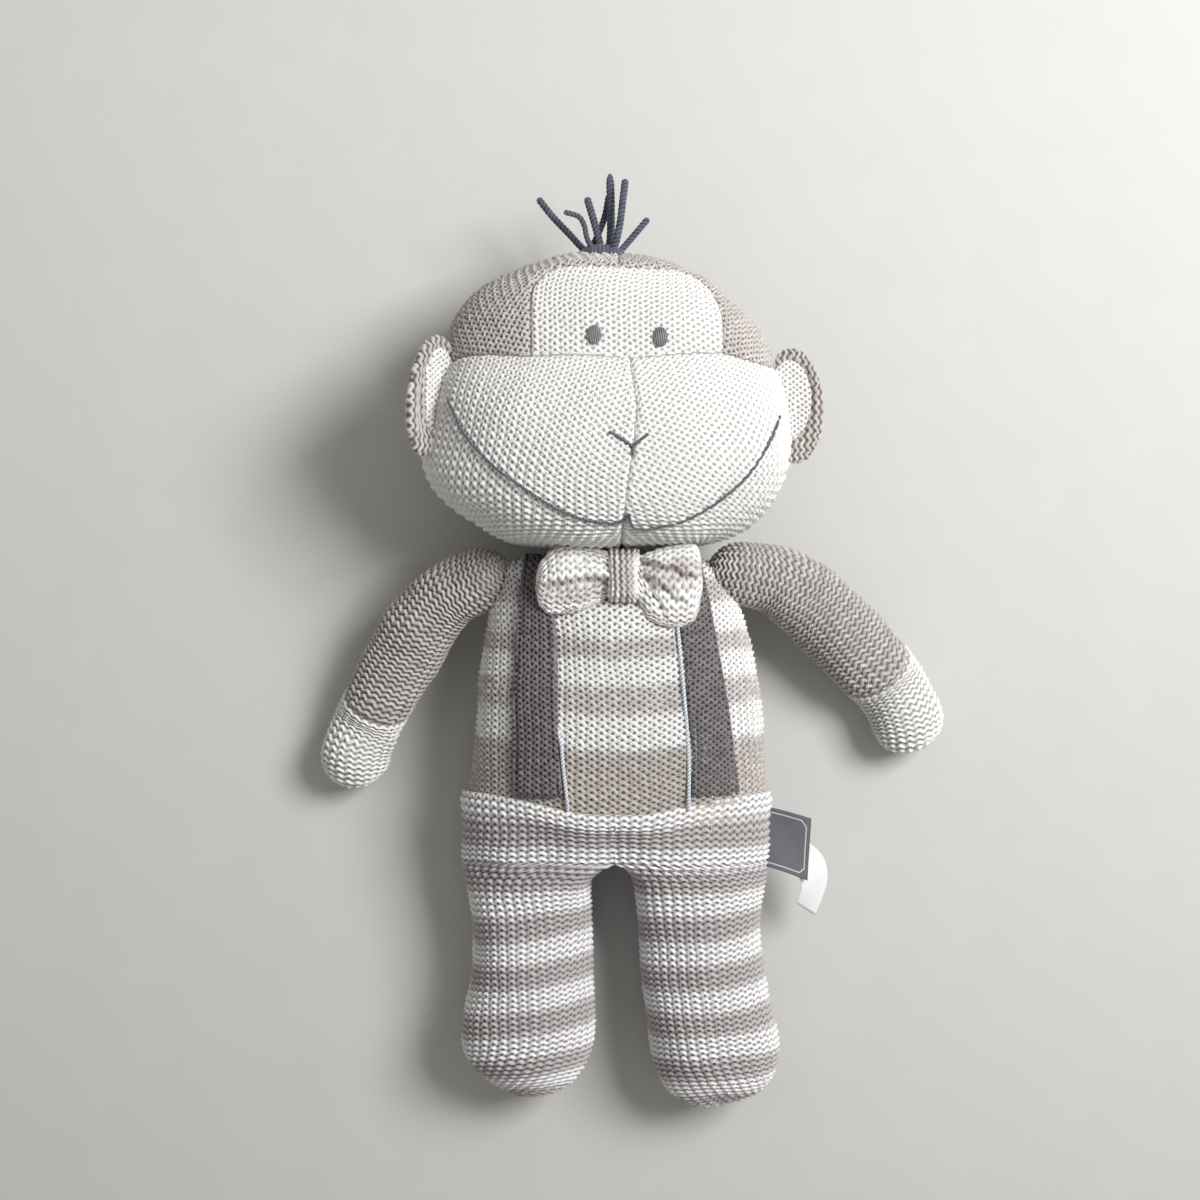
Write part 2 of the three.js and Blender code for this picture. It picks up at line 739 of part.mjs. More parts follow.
function foreheadOutline(grow) {
  const left = head.centreX - forehead.left - grow;
  const right = head.centreX + forehead.right + grow;
  const top = browY + forehead.height + grow;
  const bottom = browY - grow;
  const round = forehead.cornerRound + grow;
  const outline = new THREE.Shape();
  outline.moveTo(left, bottom);
  outline.lineTo(left, top - round);
  outline.quadraticCurveTo(left, top, left + round, top);
  outline.lineTo(right - round, top);
  outline.quadraticCurveTo(right, top, right, top - round);
  outline.lineTo(right, bottom);
  return outline;
}

function buildHead() {
  const outer = craniumForm.solid().add(muzzleForm.solid());
  const inner = craniumForm.solid(wall, innerCoarse).add(muzzleForm.solid(wall, innerCoarse));
  const filled = wall + gap;
  const stuffing = craniumForm.solid(filled, innerCoarse).add(muzzleForm.solid(filled, innerCoarse));
  const knobRoom = ballRoom(tuftCentre, tuft.knobRadius);
  const room = floor.add(neckSocket).add(knobRoom);
  const shell = outer.subtract(inner).subtract(room);
  const high = head.craniumDepth * 2;
  const muzzle = prism(browLine(-seamGap / 2), head.sideSeamZ + seamGap / 2, high);
  const muzzleRoom = prism(browLine(seamGap / 2), head.sideSeamZ - seamGap / 2, high);
  const patch = prism(foreheadOutline(-seamGap / 2), head.craniumDepth / 2, high).subtract(muzzleRoom);
  const patchRoom = prism(foreheadOutline(seamGap / 2), head.craniumDepth / 2, high);
  const seamZ = head.muzzleCentreZ + head.muzzleDepth / 2;
  const seamPoint = new THREE.Vector3(head.centreX + head.seamShift, 0, seamZ);
  const right = new THREE.Vector3(Math.cos(head.seamTurn * degrees), 0, -Math.sin(head.seamTurn * degrees));
  const rightSide = halfSpace(seamPoint.clone().addScaledVector(right, seamGap / 2), right);
  const leftSide = halfSpace(seamPoint.clone().addScaledVector(right, -seamGap / 2), right.clone().negate());
  add('forehead_panel', mainBody(shell.intersect(patch)), colours.cream);
  add('hair_cover', mainBody(shell.subtract(muzzleRoom).subtract(patchRoom)), colours.taupe);
  add('muzzle_left', mainBody(shell.intersect(muzzle).intersect(leftSide)), colours.cream);
  add('muzzle_right', mainBody(shell.intersect(muzzle).intersect(rightSide)), colours.cream);
  add('head_stuffing', mainBody(stuffing.subtract(room)), colours.fill);
  add('neck_stuffing', ball(neckCentre, neck.radius), colours.fill);
}

// Face: eyes, nose and smile, all worked in yarn

function buildFace() {
  const brow = craniumForm.solid(-gap);
  [['eye_left', face.eyeLeftX], ['eye_right', face.eyeRightX]].forEach(([name, offset]) => {
    const place = craniumForm.front(head.centreX + offset, browY + face.eyeRise);
    const outwards = craniumForm.front(place.x, place.y, 1).sub(place);
    const dot = new THREE.SphereGeometry(1, 12, 8);
    dot.scale(face.eyeWidth / 2, face.eyeHeight / 2, face.eyeStand);
    dot.applyQuaternion(new THREE.Quaternion().setFromUnitVectors(up, outwards.normalize()));
    dot.translate(place.x, place.y, place.z);
    add(name, mainBody(toSolid(dot).subtract(brow)), colours.thread, 0.8);
  });
  const onMuzzle = (points, radius) => points.map(([x, y]) => (
    muzzleForm.front(head.centreX + x, browY + y, radius + gap)
  ));
  const nose = face.noseStitches
    .map((points) => thread(onMuzzle(points, face.threadRadius), face.threadRadius, 4, 6))
    .reduce((all, stitch) => all.add(stitch));
  const smile = thread(onMuzzle(face.smile, face.smileRadius), face.smileRadius, 2 * face.smile.length, 6);
  add('nose_stitches', nose, colours.thread, 0.8);
  add('smile_thread', smile, colours.thread, 0.8);
}

// Ears: taupe back, cream front

function buildEars() {
  const headRoom = craniumForm.solid(-gap).add(muzzleForm.solid(-gap));
  earSides.forEach((spec) => {
    const y = headBottom + ear.rootHeight + spec.rise;
    const lean = spec.lean * degrees;
    const out = new THREE.Vector3(spec.side * Math.cos(lean), 0, Math.sin(lean));
    const faceOut = new THREE.Vector3(-spec.side * Math.sin(lean), 0, Math.cos(lean));
    const edge = craniumForm.section(craniumForm.distanceAt(y), 0);
    const low = (spec.rootZ - edge.centre.z) / edge.halfDepth;
    const rootX = edge.centre.x + spec.side * edge.halfWidth * Math.sqrt(1 - low * low);
    const root = new THREE.Vector3(rootX, y, spec.rootZ);
    const centre = root.clone().addScaledVector(out, ear.width / 2);
    const axis = root.clone().addScaledVector(out, ear.foldAt);
    const oval = (share) => {
      const sphere = new THREE.SphereGeometry(1, 14, 7);
      sphere.scale(ear.width / 2 * share, ear.height / 2 * share, ear.thickness / 2);
      sphere.applyMatrix4(new THREE.Matrix4().makeBasis(out, new THREE.Vector3(0, spec.side, 0), faceOut));
      sphere.translate(centre.x, centre.y, centre.z);
      return toSolid(sphere);
    };
    // The ear turns about the fold's axis, so the head is turned the other way to find its room
    const room = headRoom
      .add(turned(headRoom, axis, alongY, -spec.side * spec.foldBack))
      .add(turned(headRoom, axis, alongY, spec.side * spec.foldFront));
    const behind = faceOut.clone().negate();
    const frontSide = halfSpace(centre.clone().addScaledVector(faceOut, seamGap / 2), faceOut);
    const backSide = halfSpace(centre.clone().addScaledVector(behind, seamGap / 2), behind);
    const patch = oval(ear.patchShare).intersect(frontSide).subtract(room);
    const back = oval(1).intersect(backSide).subtract(room);
    add(`ear_front_${spec.name}`, mainBody(patch), colours.cream);
    add(`ear_back_${spec.name}`, mainBody(back), colours.taupe);
  });
}

function buildTuft() {
  add('tuft_binding', ball(tuftCentre, tuft.knobRadius), colours.yarn);
  const room = ball(tuftCentre, tuft.knobRadius + tuft.strandGap);
  strands.forEach((strand, i) => {
    const route = strand.route.map(([x, y, z]) => tuftCentre.clone().add(new THREE.Vector3(x, y, z)));
    const root = tuftCentre.clone().lerp(route[0], 0.7);
    const solid = thread([root, ...route], strand.radius, strand.route.length * 2);
    add(`tuft_strand_${i + 1}`, mainBody(solid.subtract(room)), colours.yarn);
  });
}

// Braces and piping on the sweater's front

function onBody(drop, offset, lift) {
  const y = torso.topY - drop;
  return torsoForm.front(torso.centreX + offset, y, lift);
}

function buildBraces() {
  braceSides.forEach((spec) => {
    const layer = (lift) => Array.from({ length: braces.along + 1 }, (_, r) => {
      const t = r / braces.along;
      const drop = THREE.MathUtils.lerp(braces.topDrop, braces.bottomDrop, t);
      return Array.from({ length: braces.across + 1 }, (_, c) => {
        const [from, to] = [profile(spec.outer, t), profile(spec.inner, t)];
        return onBody(drop, THREE.MathUtils.lerp(from, to, c / braces.across), lift);
      });
    });
    add(`brace_${spec.name}`, cloth(layer(gap), layer(gap + braces.thickness)), colours.brace);
    const route = Array.from({ length: piping.steps + 1 }, (_, r) => {
      const drop = THREE.MathUtils.lerp(piping.fromDrop, braces.bottomDrop, r / piping.steps);
      const t = (drop - braces.topDrop) / (braces.bottomDrop - braces.topDrop);
      const offset = profile(spec.inner, t) - spec.side * (piping.radius + gap);
      return onBody(drop, offset, piping.radius + gap);
    });
    add(`piping_${spec.name}`, thread(route, piping.radius, piping.steps), colours.piping);
  });
}

// Bow: knot and two loops

function buildBow() {
  const knotX = torso.centreX + bow.knotX;
  const topY = torso.topY - bow.topDrop;
  const middleY = topY - bow.knotHeight / 2;
  const chestZ = torsoForm.front(knotX, middleY).z + gap;
  const knotRoute = [topY, middleY, topY - bow.knotHeight].map((y) => (
    new THREE.Vector3(knotX, y, chestZ + bow.knotDepth / 2)
  ));
  const knot = new SoftForm(
    knotRoute,
    () => bow.knotWidth / 2,
    () => bow.knotDepth / 2,
    bow.knotRounds,
    bow.knotFaces,
  );
  add('bow_knot', mainBody(knot.solid().subtract(torsoForm.solid(-gap))), colours.knot);
  const braceRoom = torsoForm.solid(-gap - braces.thickness - braces.room);
  bowLoops.forEach((spec) => {
    const rootX = knotX + spec.side * (bow.knotWidth / 2 + gap);
    const middleHeight = THREE.MathUtils.lerp(spec.rootHeight, spec.endHeight, 0.8);
    const tall = [[0, spec.rootHeight], [0.5, middleHeight], [1, spec.endHeight]];
    const route = [0, 0.5, 1].map((u) => new THREE.Vector3(
      rootX + spec.side * spec.length * u,
      Math.min(middleY + spec.lean * u, topY - profile(tall, u) / 2),
      chestZ + braces.thickness + gap + bow.loopDepth / 2,
    ));
    const halfHeight = (u) => profile(tall, u) / 2;
    const loop = new SoftForm(route, halfHeight, () => bow.loopDepth / 2, bow.loopRounds, bow.loopFaces);
    const besideKnot = halfSpace(new THREE.Vector3(rootX, 0, 0), across.clone().multiplyScalar(spec.side));
    const cut = loop.solid().subtract(braceRoom).intersect(besideKnot);
    add(`bow_loop_${spec.name}`, mainBody(cut), colours.bow);
  });
}

// Labels in the side seam

function sideX(y) {
  const part = torsoForm.section(torsoForm.distanceAt(y), 0);
  return part.centre.x + part.halfWidth;
}

// A label stands out from the seam; it falls a little towards its free end and may curl up
function buildLabel(name, spec, colour, roughness) {
  const topY = torso.topY - spec.topDrop;
  const seamX = Math.max(sideX(hemY), sideX(topY - spec.height / 2)) + gap;
  const layer = (lift) => Array.from({ length: labelSteps.along + 1 }, (_, c) => {
    const u = c / labelSteps.along;
    const trim = Math.max(0, spec.chamfer - spec.width * (1 - u));
    return Array.from({ length: labelSteps.across + 1 }, (_, r) => new THREE.Vector3(
      seamX + spec.width * u,
      topY - spec.fall * u - THREE.MathUtils.lerp(spec.height - trim, trim, r / labelSteps.across),
      spec.z + spec.curl * Math.sin(u * Math.PI) + lift,
    ));
  });
  add(name, cloth(layer(0), layer(spec.thickness)), colour, roughness);
}

function buildLabels() {
  buildLabel('side_label', sideLabel, colours.label, 0.6);
  buildLabel('care_label', careLabel, colours.care, 0.5);
}

buildHead();
buildFace();
buildEars();
buildTuft();
buildBody();
buildBow();
buildBraces();
buildArms();
buildLegs();
buildLabels();

// The finished part stands with the middle of its box over the origin and its back on the floor
const box = new THREE.Box3().setFromObject(group);
const middle = box.getCenter(new THREE.Vector3());
group.position.set(-middle.x, -middle.y, -box.min.z);
group.updateMatrixWorld(true);

export default group;
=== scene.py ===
import math
import bpy
import numpy as np
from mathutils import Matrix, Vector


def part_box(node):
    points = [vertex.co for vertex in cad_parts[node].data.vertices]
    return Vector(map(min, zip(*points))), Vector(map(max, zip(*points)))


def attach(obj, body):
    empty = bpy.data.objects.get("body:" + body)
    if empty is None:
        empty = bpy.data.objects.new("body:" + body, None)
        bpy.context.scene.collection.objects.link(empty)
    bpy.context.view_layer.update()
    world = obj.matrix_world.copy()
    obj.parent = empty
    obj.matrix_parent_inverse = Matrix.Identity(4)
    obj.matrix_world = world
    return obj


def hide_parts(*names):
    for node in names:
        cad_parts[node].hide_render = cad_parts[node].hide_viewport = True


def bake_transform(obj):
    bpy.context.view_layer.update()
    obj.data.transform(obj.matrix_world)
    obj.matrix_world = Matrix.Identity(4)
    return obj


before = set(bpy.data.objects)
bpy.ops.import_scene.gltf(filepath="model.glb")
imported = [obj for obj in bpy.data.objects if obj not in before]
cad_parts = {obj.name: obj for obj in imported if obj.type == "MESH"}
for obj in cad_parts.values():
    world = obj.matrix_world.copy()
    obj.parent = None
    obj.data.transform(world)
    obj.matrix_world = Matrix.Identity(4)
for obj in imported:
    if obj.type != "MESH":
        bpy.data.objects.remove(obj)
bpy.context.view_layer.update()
bpy.ops.object.select_all(action="DESELECT")
print("frame loaded")

# Sizes below are millimetres with the middle of the picture at zero, +y towards the head, +z off the floor
mm = 0.001
neckPlace = (4.5, 20.8)
neckLow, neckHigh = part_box("neck_stuffing")
shift = np.array([
    (neckLow.x + neckHigh.x) / 2 / mm - neckPlace[0],
    (neckLow.y + neckHigh.y) / 2 / mm - neckPlace[1],
    0.0,
])


def toRow(points):
    return (np.asarray(points, float) + shift) * mm


# Camera straight above the picture's middle

view = {"height": 1000.0, "width": 497.0, "widthAt": 38.0}


def placeCamera():
    bpy.ops.object.camera_add(location=toRow([0, 0, view["height"]]), rotation=(0, 0, 0))
    camera = bpy.context.object
    camera.name = "camera"
    camera.data.sensor_width = 36
    camera.data.lens = 36 * (view["height"] - view["widthAt"]) / view["width"]
    camera.data.clip_start = 0.05
    camera.data.clip_end = 20
    bpy.context.scene.camera = camera


placeCamera()
print("camera placed")


# Shader helpers

class Wire:
    # An output socket that takes part in ordinary arithmetic
    def __init__(self, paint, socket):
        self.paint = paint
        self.socket = socket

    def between(self, low, high):
        # 0 below low, 1 above high, and a soft step from one to the other
        node = self.paint.node(
            "MapRange",
            {"interpolation_type": "SMOOTHSTEP"},
            {"Value": self, "From Min": low, "From Max": high},
        )
        return Wire(self.paint, node.outputs["Result"])


# Python's operators and a few methods, each one a math node

def socketMethod(operation, swapped=False):
    def apply(self, other=None):
        values = (other, self) if swapped else (self, other)
        return self.paint.math(operation, *values)
    return apply


operations = {
    "__add__": "ADD", "__sub__": "SUBTRACT", "__mul__": "MULTIPLY", "__truediv__": "DIVIDE", "__pow__": "POWER",
    "sin": "SINE", "cos": "COSINE", "floor": "FLOOR", "absolute": "ABSOLUTE", "atLeast": "MAXIMUM",
    "atMost": "MINIMUM",
}
for method, operation in operations.items():
    setattr(Wire, method, socketMethod(operation))
for method, operation in {"__radd__": "ADD", "__rsub__": "SUBTRACT", "__rmul__": "MULTIPLY"}.items():
    setattr(Wire, method, socketMethod(operation, swapped=True))


class Paint:
    def __init__(self, name, **finish):
        self.material = bpy.data.materials.new(name)
        self.material.use_nodes = True
        self.tree = self.material.node_tree
        self.shader = self.tree.nodes["Principled BSDF"]
        for socket, value in finish.items():
            self.shader.inputs[socket.replace("_", " ")].default_value = value

    def node(self, kind, settings=None, inputs=None):
        made = self.tree.nodes.new("ShaderNode" + kind)
        for name, value in (settings or {}).items():
            if name == "stops":
                self.setStops(made.color_ramp, value)
            else:
                setattr(made, name, value)
        for name, value in (inputs or {}).items():
            self.feed(made.inputs[name], value)
        return made

    def setStops(self, ramp, stops):
        while len(ramp.elements) < len(stops):
            ramp.elements.new(1.0)
        for element, (place, colour) in zip(ramp.elements, stops):
            element.position = place
            element.color = colour

    def feed(self, socket, value):
        if isinstance(value, Wire):
            self.tree.links.new(value.socket, socket)
        else:
            socket.default_value = value

    def math(self, operation, a, b=None):
        inputs = {0: a} if b is None else {0: a, 1: b}
        return Wire(self, self.node("Math", {"operation": operation}, inputs).outputs[0])

    def mix(self, factor, a, b, way="MIX"):
        settings = {"data_type": "RGBA", "blend_type": way}
        return Wire(self, self.node("Mix", settings, {0: factor, 6: a, 7: b}).outputs[2])

    def point(self, x, y, z=0.0):
        return Wire(self, self.node("CombineXYZ", None, {0: x, 1: y, 2: z}).outputs[0])

    def split(self, vector):
        node = self.node("SeparateXYZ", None, {0: vector})
        return [Wire(self, output) for output in node.outputs]

    def uv(self):
        return self.split(Wire(self, self.node("UVMap", {"uv_map": "knit"}).outputs["UV"]))[:2]

    def place(self):
        return Wire(self, self.node("TexCoord").outputs["Object"])

    def noise(self, vector, scale, detail=2.0, roughness=0.5):
        inputs = {"Vector": vector, "Scale": scale, "Detail": detail, "Roughness": roughness}
        return Wire(self, self.node("TexNoise", None, inputs).outputs["Fac"])

    def chance(self, vector):
        settings = {"noise_dimensions": "2D"}
        return Wire(self, self.node("TexWhiteNoise", settings, {"Vector": vector}).outputs["Value"])

    def tint(self, colour, factor):
        # The colour made lighter or darker by a value
        grey = self.point(factor, factor, factor)
        return self.mix(1.0, colour, grey, "MULTIPLY")

    def finish(self, colour=None, bump=None, depth=0.3, strength=1.0, roughness=None):
        if colour is not None:
            self.feed(self.shader.inputs["Base Color"], colour)
        if roughness is not None:
            self.feed(self.shader.inputs["Roughness"], roughness)
        if bump is not None:
            inputs = {"Height": bump, "Distance": depth * mm, "Strength": strength}
            self.feed(self.shader.inputs["Normal"], Wire(self, self.node("Bump", None, inputs).outputs[0]))
        return self.material


def srgb(red, green, blue):
    def linear(value):
        share = value / 255
        return share / 12.92 if share <= 0.04045 else ((share + 0.055) / 1.055) ** 2.4
    return (linear(red), linear(green), linear(blue), 1.0)


# Knitting: a stitch pattern used for the meshes and again for the shading

tau = 2 * math.pi
plainKnit = {
    "wale": 4.15, "course": 2.6, "wave": 0.3, "open": 0.3, "round": 1.7, "crest": 0.3, "relief": 1.45,
    "wander": 0.11,
}
sleeveKnit = {
    "wale": 4.0, "course": 2.42, "wave": 0.22, "open": 0.7, "round": 1.3, "crest": 0.2, "relief": 1.5,
    "wander": 0.14,
}
bodyKnit = dict(plainKnit, wale=4.25, course=2.52, relief=1.6)
rowKnit = dict(plainKnit, wale=4.2, course=2.48, wave=0.22, open=0.52, round=1.4, crest=0.3, relief=1.5)
chin = {"rows": (22.0, 36.0), "open": 0.8, "wave": 0.18}
fineKnit = dict(plainKnit, wale=3.2, course=2.35, relief=1.25)
bandKnit = dict(plainKnit, wale=3.1, course=2.4, round=1.4, relief=1.5)
bowKnit = dict(sleeveKnit, wale=3.7, course=2.25, round=1.5, relief=1.25, wave=0.2, open=0.42)
knotKnit = dict(bowKnit, wale=2.7, course=2.5, relief=1.6, wave=0.17, open=0.7)


def lattice(u, v, seed):
    # Smooth noise from -1 to 1 with one value at each whole number
    cellU, cellV = np.floor(u), np.floor(v)
    shareU, shareV = u - cellU, v - cellV
    shareU, shareV = shareU ** 2 * (3 - 2 * shareU), shareV ** 2 * (3 - 2 * shareV)

    def corner(du, dv):
        value = np.sin((cellU + du) * 12.9898 + (cellV + dv) * 78.233 + seed * 37.719) * 43758.5453
        return 2 * (value - np.floor(value)) - 1

    low = corner(0, 0) * (1 - shareU) + corner(1, 0) * shareU
    high = corner(0, 1) * (1 - shareU) + corner(1, 1) * shareU
    return low * (1 - shareV) + high * shareV


def wander(u, v, knit, seed):
    # Hand-fed yarn: no stitch sits exactly in line
    amount = knit["wander"]
    return (
        u + amount * lattice(u * 0.9, v * 0.9, seed) + 0.3 * lattice(u * 0.13, v * 0.13, seed + 5),
        v + 0.7 * amount * lattice(u * 0.8, v * 0.8, seed + 1) + 0.35 * lattice(u * 0.16, v * 0.16, seed + 6),
    )


def stitchHeight(u, v, knit):
    wave = np.sin(tau * u)
    ridge = 0.5 + 0.5 * np.cos(tau * (v - knit["wave"] * wave))
    gap = (1 - ridge) ** knit["round"] * (knit["open"] + (1 - knit["open"]) * wave ** 2)
    return 1 - gap + knit["crest"] * wave * ridge


def knitRelief(u, v, knit, seed):
    uneven = 1 + 0.12 * lattice(u, v, seed + 2)
    return knit["relief"] * (stitchHeight(u, v, knit) * uneven - 0.62)


# Smooth values and lines from short lists

def profile(keys, u):
    keys = np.asarray(keys, float)
    u = np.clip(np.asarray(u, float), keys[0, 0], keys[-1, 0])
    last = len(keys) - 1
    i = np.clip(np.searchsorted(keys[:, 0], u, side="right") - 1, 0, last - 1)
    before, after = np.maximum(i - 1, 0), np.minimum(i + 2, last)
    step = keys[i + 1, 0] - keys[i, 0]
    t = (u - keys[i, 0]) / step
    slopeIn = (keys[i + 1, 1] - keys[before, 1]) / (keys[i + 1, 0] - keys[before, 0]) * step
    slopeOut = (keys[after, 1] - keys[i, 1]) / (keys[after, 0] - keys[i, 0]) * step
    a = 2 * t ** 3 - 3 * t ** 2 + 1
    b = t ** 3 - 2 * t ** 2 + t
    c = t ** 3 - t ** 2
    return a * keys[i, 1] + b * slopeIn + (1 - a) * keys[i + 1, 1] + c * slopeOut


def smoothStep(value, low, high):
    t = np.clip((value - low) / (high - low), 0, 1)
    return t * t * (3 - 2 * t)


def dome(distance, radius):
    # Rises from 0 at an edge to 1 at the radius, as a quarter circle does
    return np.sqrt(np.clip(1 - np.clip(1 - distance / radius, 0, 1) ** 2, 0, 1))


def smoothLine(points, steps=40):
    # Centripetal curve through the points, dense enough to measure along
    points = np.asarray(points, float)
    ends = [2 * points[0] - points[1], *points, 2 * points[-1] - points[-2]]
    line = []
    for p0, p1, p2, p3 in zip(ends, ends[1:], ends[2:], ends[3:]):
        gaps = [max(np.linalg.norm(b - a), 1e-6) ** 0.5 for a, b in ((p0, p1), (p1, p2), (p2, p3))]
        m1 = (p2 - p1) + gaps[1] * ((p1 - p0) / gaps[0] - (p2 - p0) / (gaps[0] + gaps[1]))
        m2 = (p2 - p1) + gaps[1] * ((p3 - p2) / gaps[2] - (p3 - p1) / (gaps[1] + gaps[2]))
        t = np.linspace(0, 1, steps, endpoint=False)[:, None]
        line.append(
            (2 * t ** 3 - 3 * t ** 2 + 1) * p1 + (t ** 3 - 2 * t ** 2 + t) * m1
            + (3 * t ** 2 - 2 * t ** 3) * p2 + (t ** 3 - t ** 2) * m2
        )
    return np.vstack([*line, points[-1:]])


def sideAt(points, y):
    # x or z at y on a smooth line through [y, value] points, from high y to low y
    line = smoothLine(points)
    order = np.argsort(line[:, 0])
    return np.interp(y, line[order, 0], line[order, 1])


def aboveFloor(z, rest=0.9, soft=1.6):
    # Eases the underside onto the floor
    over = z - rest
    return rest + 0.5 * (over + np.sqrt(over ** 2 + soft ** 2)) - 0.25 * soft


def runningSum(steps):
    return np.concatenate([[0], np.cumsum(steps)])


def along(points):
    return runningSum(np.linalg.norm(np.diff(points, axis=0), axis=1))


def placedOn(line, length, place):
    # Points of a line at places along it
    return np.stack([np.interp(place, length, column) for column in line.T], 1)


def evenPlaces(total, step):
    # Middles of equal steps along a length
    rows = int(total / step)
    return (np.arange(rows) + 0.5) / rows * total


def fullTurn(columns):
    # Angles once round, from the underside back to it
    return np.linspace(-math.pi / 2, 1.5 * math.pi, columns + 1)


# Meshes from grids: pitch is the size of a face, larger on the underside by backCoarse

finePitch = 0.58
pitch = finePitch
backCoarse = 0.62
ringSteps = 1440
floorGap = 0.25


def cornersOf(points):
    return gridFaces(*points.shape[:2], True)[0]


def gridNormals(points, wrap):
    if wrap:
        sideways = np.roll(points, -1, axis=1) - np.roll(points, 1, axis=1)
    else:
        sideways = np.gradient(points, axis=1)
    lengthways = np.gradient(points, axis=0)
    normals = np.cross(sideways, lengthways)
    normals /= np.maximum(np.linalg.norm(normals, axis=2, keepdims=True), 1e-9)
    outward = points - points.mean(axis=1, keepdims=True)
    if np.sum(normals * outward) < 0:
        normals = -normals
    return normals


def gridFaces(rows, columns, wrap):
    across = columns if wrap else columns - 1
    r, c = np.meshgrid(np.arange(rows - 1), np.arange(across), indexing="ij")
    r, c = r.ravel(), c.ravel()
    near = (c + 1) % columns
    corners = np.stack([r * columns + c, r * columns + near, (r + 1) * columns + near, (r + 1) * columns + c], 1)
    width = columns + 1 if wrap else columns
    marks = np.stack([r * width + c, r * width + c + 1, (r + 1) * width + c + 1, (r + 1) * width + c], 1)
    return corners, marks


def buildMesh(name, points, faces, faceUv, triangles=None, triangleUv=None):
    # points in millimetres, faces with four corners and triangles, each with its own uv
    mesh = bpy.data.meshes.new(name)
    triangles = np.zeros((0, 3), int) if triangles is None else np.asarray(triangles)
    triangleUv = np.zeros((0, 3, 2)) if triangleUv is None else triangleUv
    corners = np.concatenate([np.asarray(faces).ravel(), triangles.ravel()])
    starts = np.concatenate([
        np.arange(len(faces)) * 4,
        len(faces) * 4 + np.arange(len(triangles)) * 3,
    ])
    mesh.vertices.add(len(points))
    mesh.vertices.foreach_set("co", toRow(points).astype(np.float32).ravel())
    mesh.loops.add(len(corners))
    mesh.loops.foreach_set("vertex_index", corners.astype(np.int32))
    mesh.polygons.add(len(starts))
    mesh.polygons.foreach_set("loop_start", starts.astype(np.int32))
    layer = mesh.uv_layers.new(name="knit")
    uv = np.concatenate([np.asarray(faceUv).reshape(-1, 2), np.asarray(triangleUv).reshape(-1, 2)])
    layer.uv.foreach_set("vector", uv.astype(np.float32).ravel())
    mesh.update(calc_edges=True)
    mesh.polygons.foreach_set("use_smooth", np.ones(len(starts), bool))
    mesh.validate()
    made = bpy.data.objects.new(name, mesh)
    bpy.context.scene.collection.objects.link(made)
    return made


def facesOutward(points, faces):
    # Whether the faces of a closed form look outwards
    a, b, c = points[faces[:, 0]], points[faces[:, 1]], points[faces[:, 2]]
    middle = points.mean(axis=0)
    return np.sum(np.cross(b - a, c - a) * (a - middle)) > 0


def facesUp(points, faces):
    # Whether the faces of an open sheet look up
    a, b, c = points[faces[:, 0]], points[faces[:, 1]], points[faces[:, 2]]
    return np.sum(np.cross(b - a, c - a)[:, 2]) > 0


def formOutward(points):
    return facesOutward(points.reshape(-1, 3), cornersOf(points))


def gridPiece(name, points, uv, wrap=True, keep=None, caps=(False, False), lip=0.0, outward=None):
    # One piece of a grid: all of it, or the faces that keep picks; lip turns its open edges inwards
    rows, columns = points.shape[:2]
    faces, marks = gridFaces(rows, columns, wrap)
    flat = points.reshape(-1, 3)
    flatUv = uv.reshape(-1, 2)
    good = facesOutward(flat, faces) if outward is None else outward
    if keep is not None:
        faces, marks = faces[keep], marks[keep]
    faceUv = flatUv[marks]
    triangles, triangleUv = [], []
    for cap, row in zip(caps, (0, rows - 1)):
        if not cap:
            continue
        pole = len(flat)
        flat = np.vstack([flat, points[row].mean(axis=0)])
        ring = row * columns + np.arange(columns)
        near = row * columns + (np.arange(columns) + 1) % columns
        pair = (near, ring) if row == 0 else (ring, near)
        triangles.append(np.stack([*pair, np.full(columns, pole)], 1))
        width = uv.shape[1]
        left = flatUv[row * width + np.arange(columns)]
        right = flatUv[row * width + np.arange(columns) + 1]
        tip = (left + right) / 2
        triangleUv.append(np.stack([*((right, left) if row == 0 else (left, right)), tip], 1))
    triangles = np.vstack(triangles) if triangles else np.zeros((0, 3), int)
    triangleUv = np.vstack(triangleUv) if triangleUv else np.zeros((0, 3, 2))
    if not good:
        faces, faceUv = faces[:, ::-1], faceUv[:, ::-1]
        triangles, triangleUv = triangles[:, ::-1], triangleUv[:, ::-1]
    if lip:
        normals = gridNormals(points, wrap).reshape(-1, 3)
        flat, faces, faceUv = addLip(flat, normals, faces, faceUv, triangles, lip)
    used = np.unique(np.concatenate([faces.ravel(), triangles.ravel()]))
    place = np.zeros(len(flat), int)
    place[used] = np.arange(len(used))
    return buildMesh(name, flat[used], place[faces], faceUv, place[triangles], triangleUv)


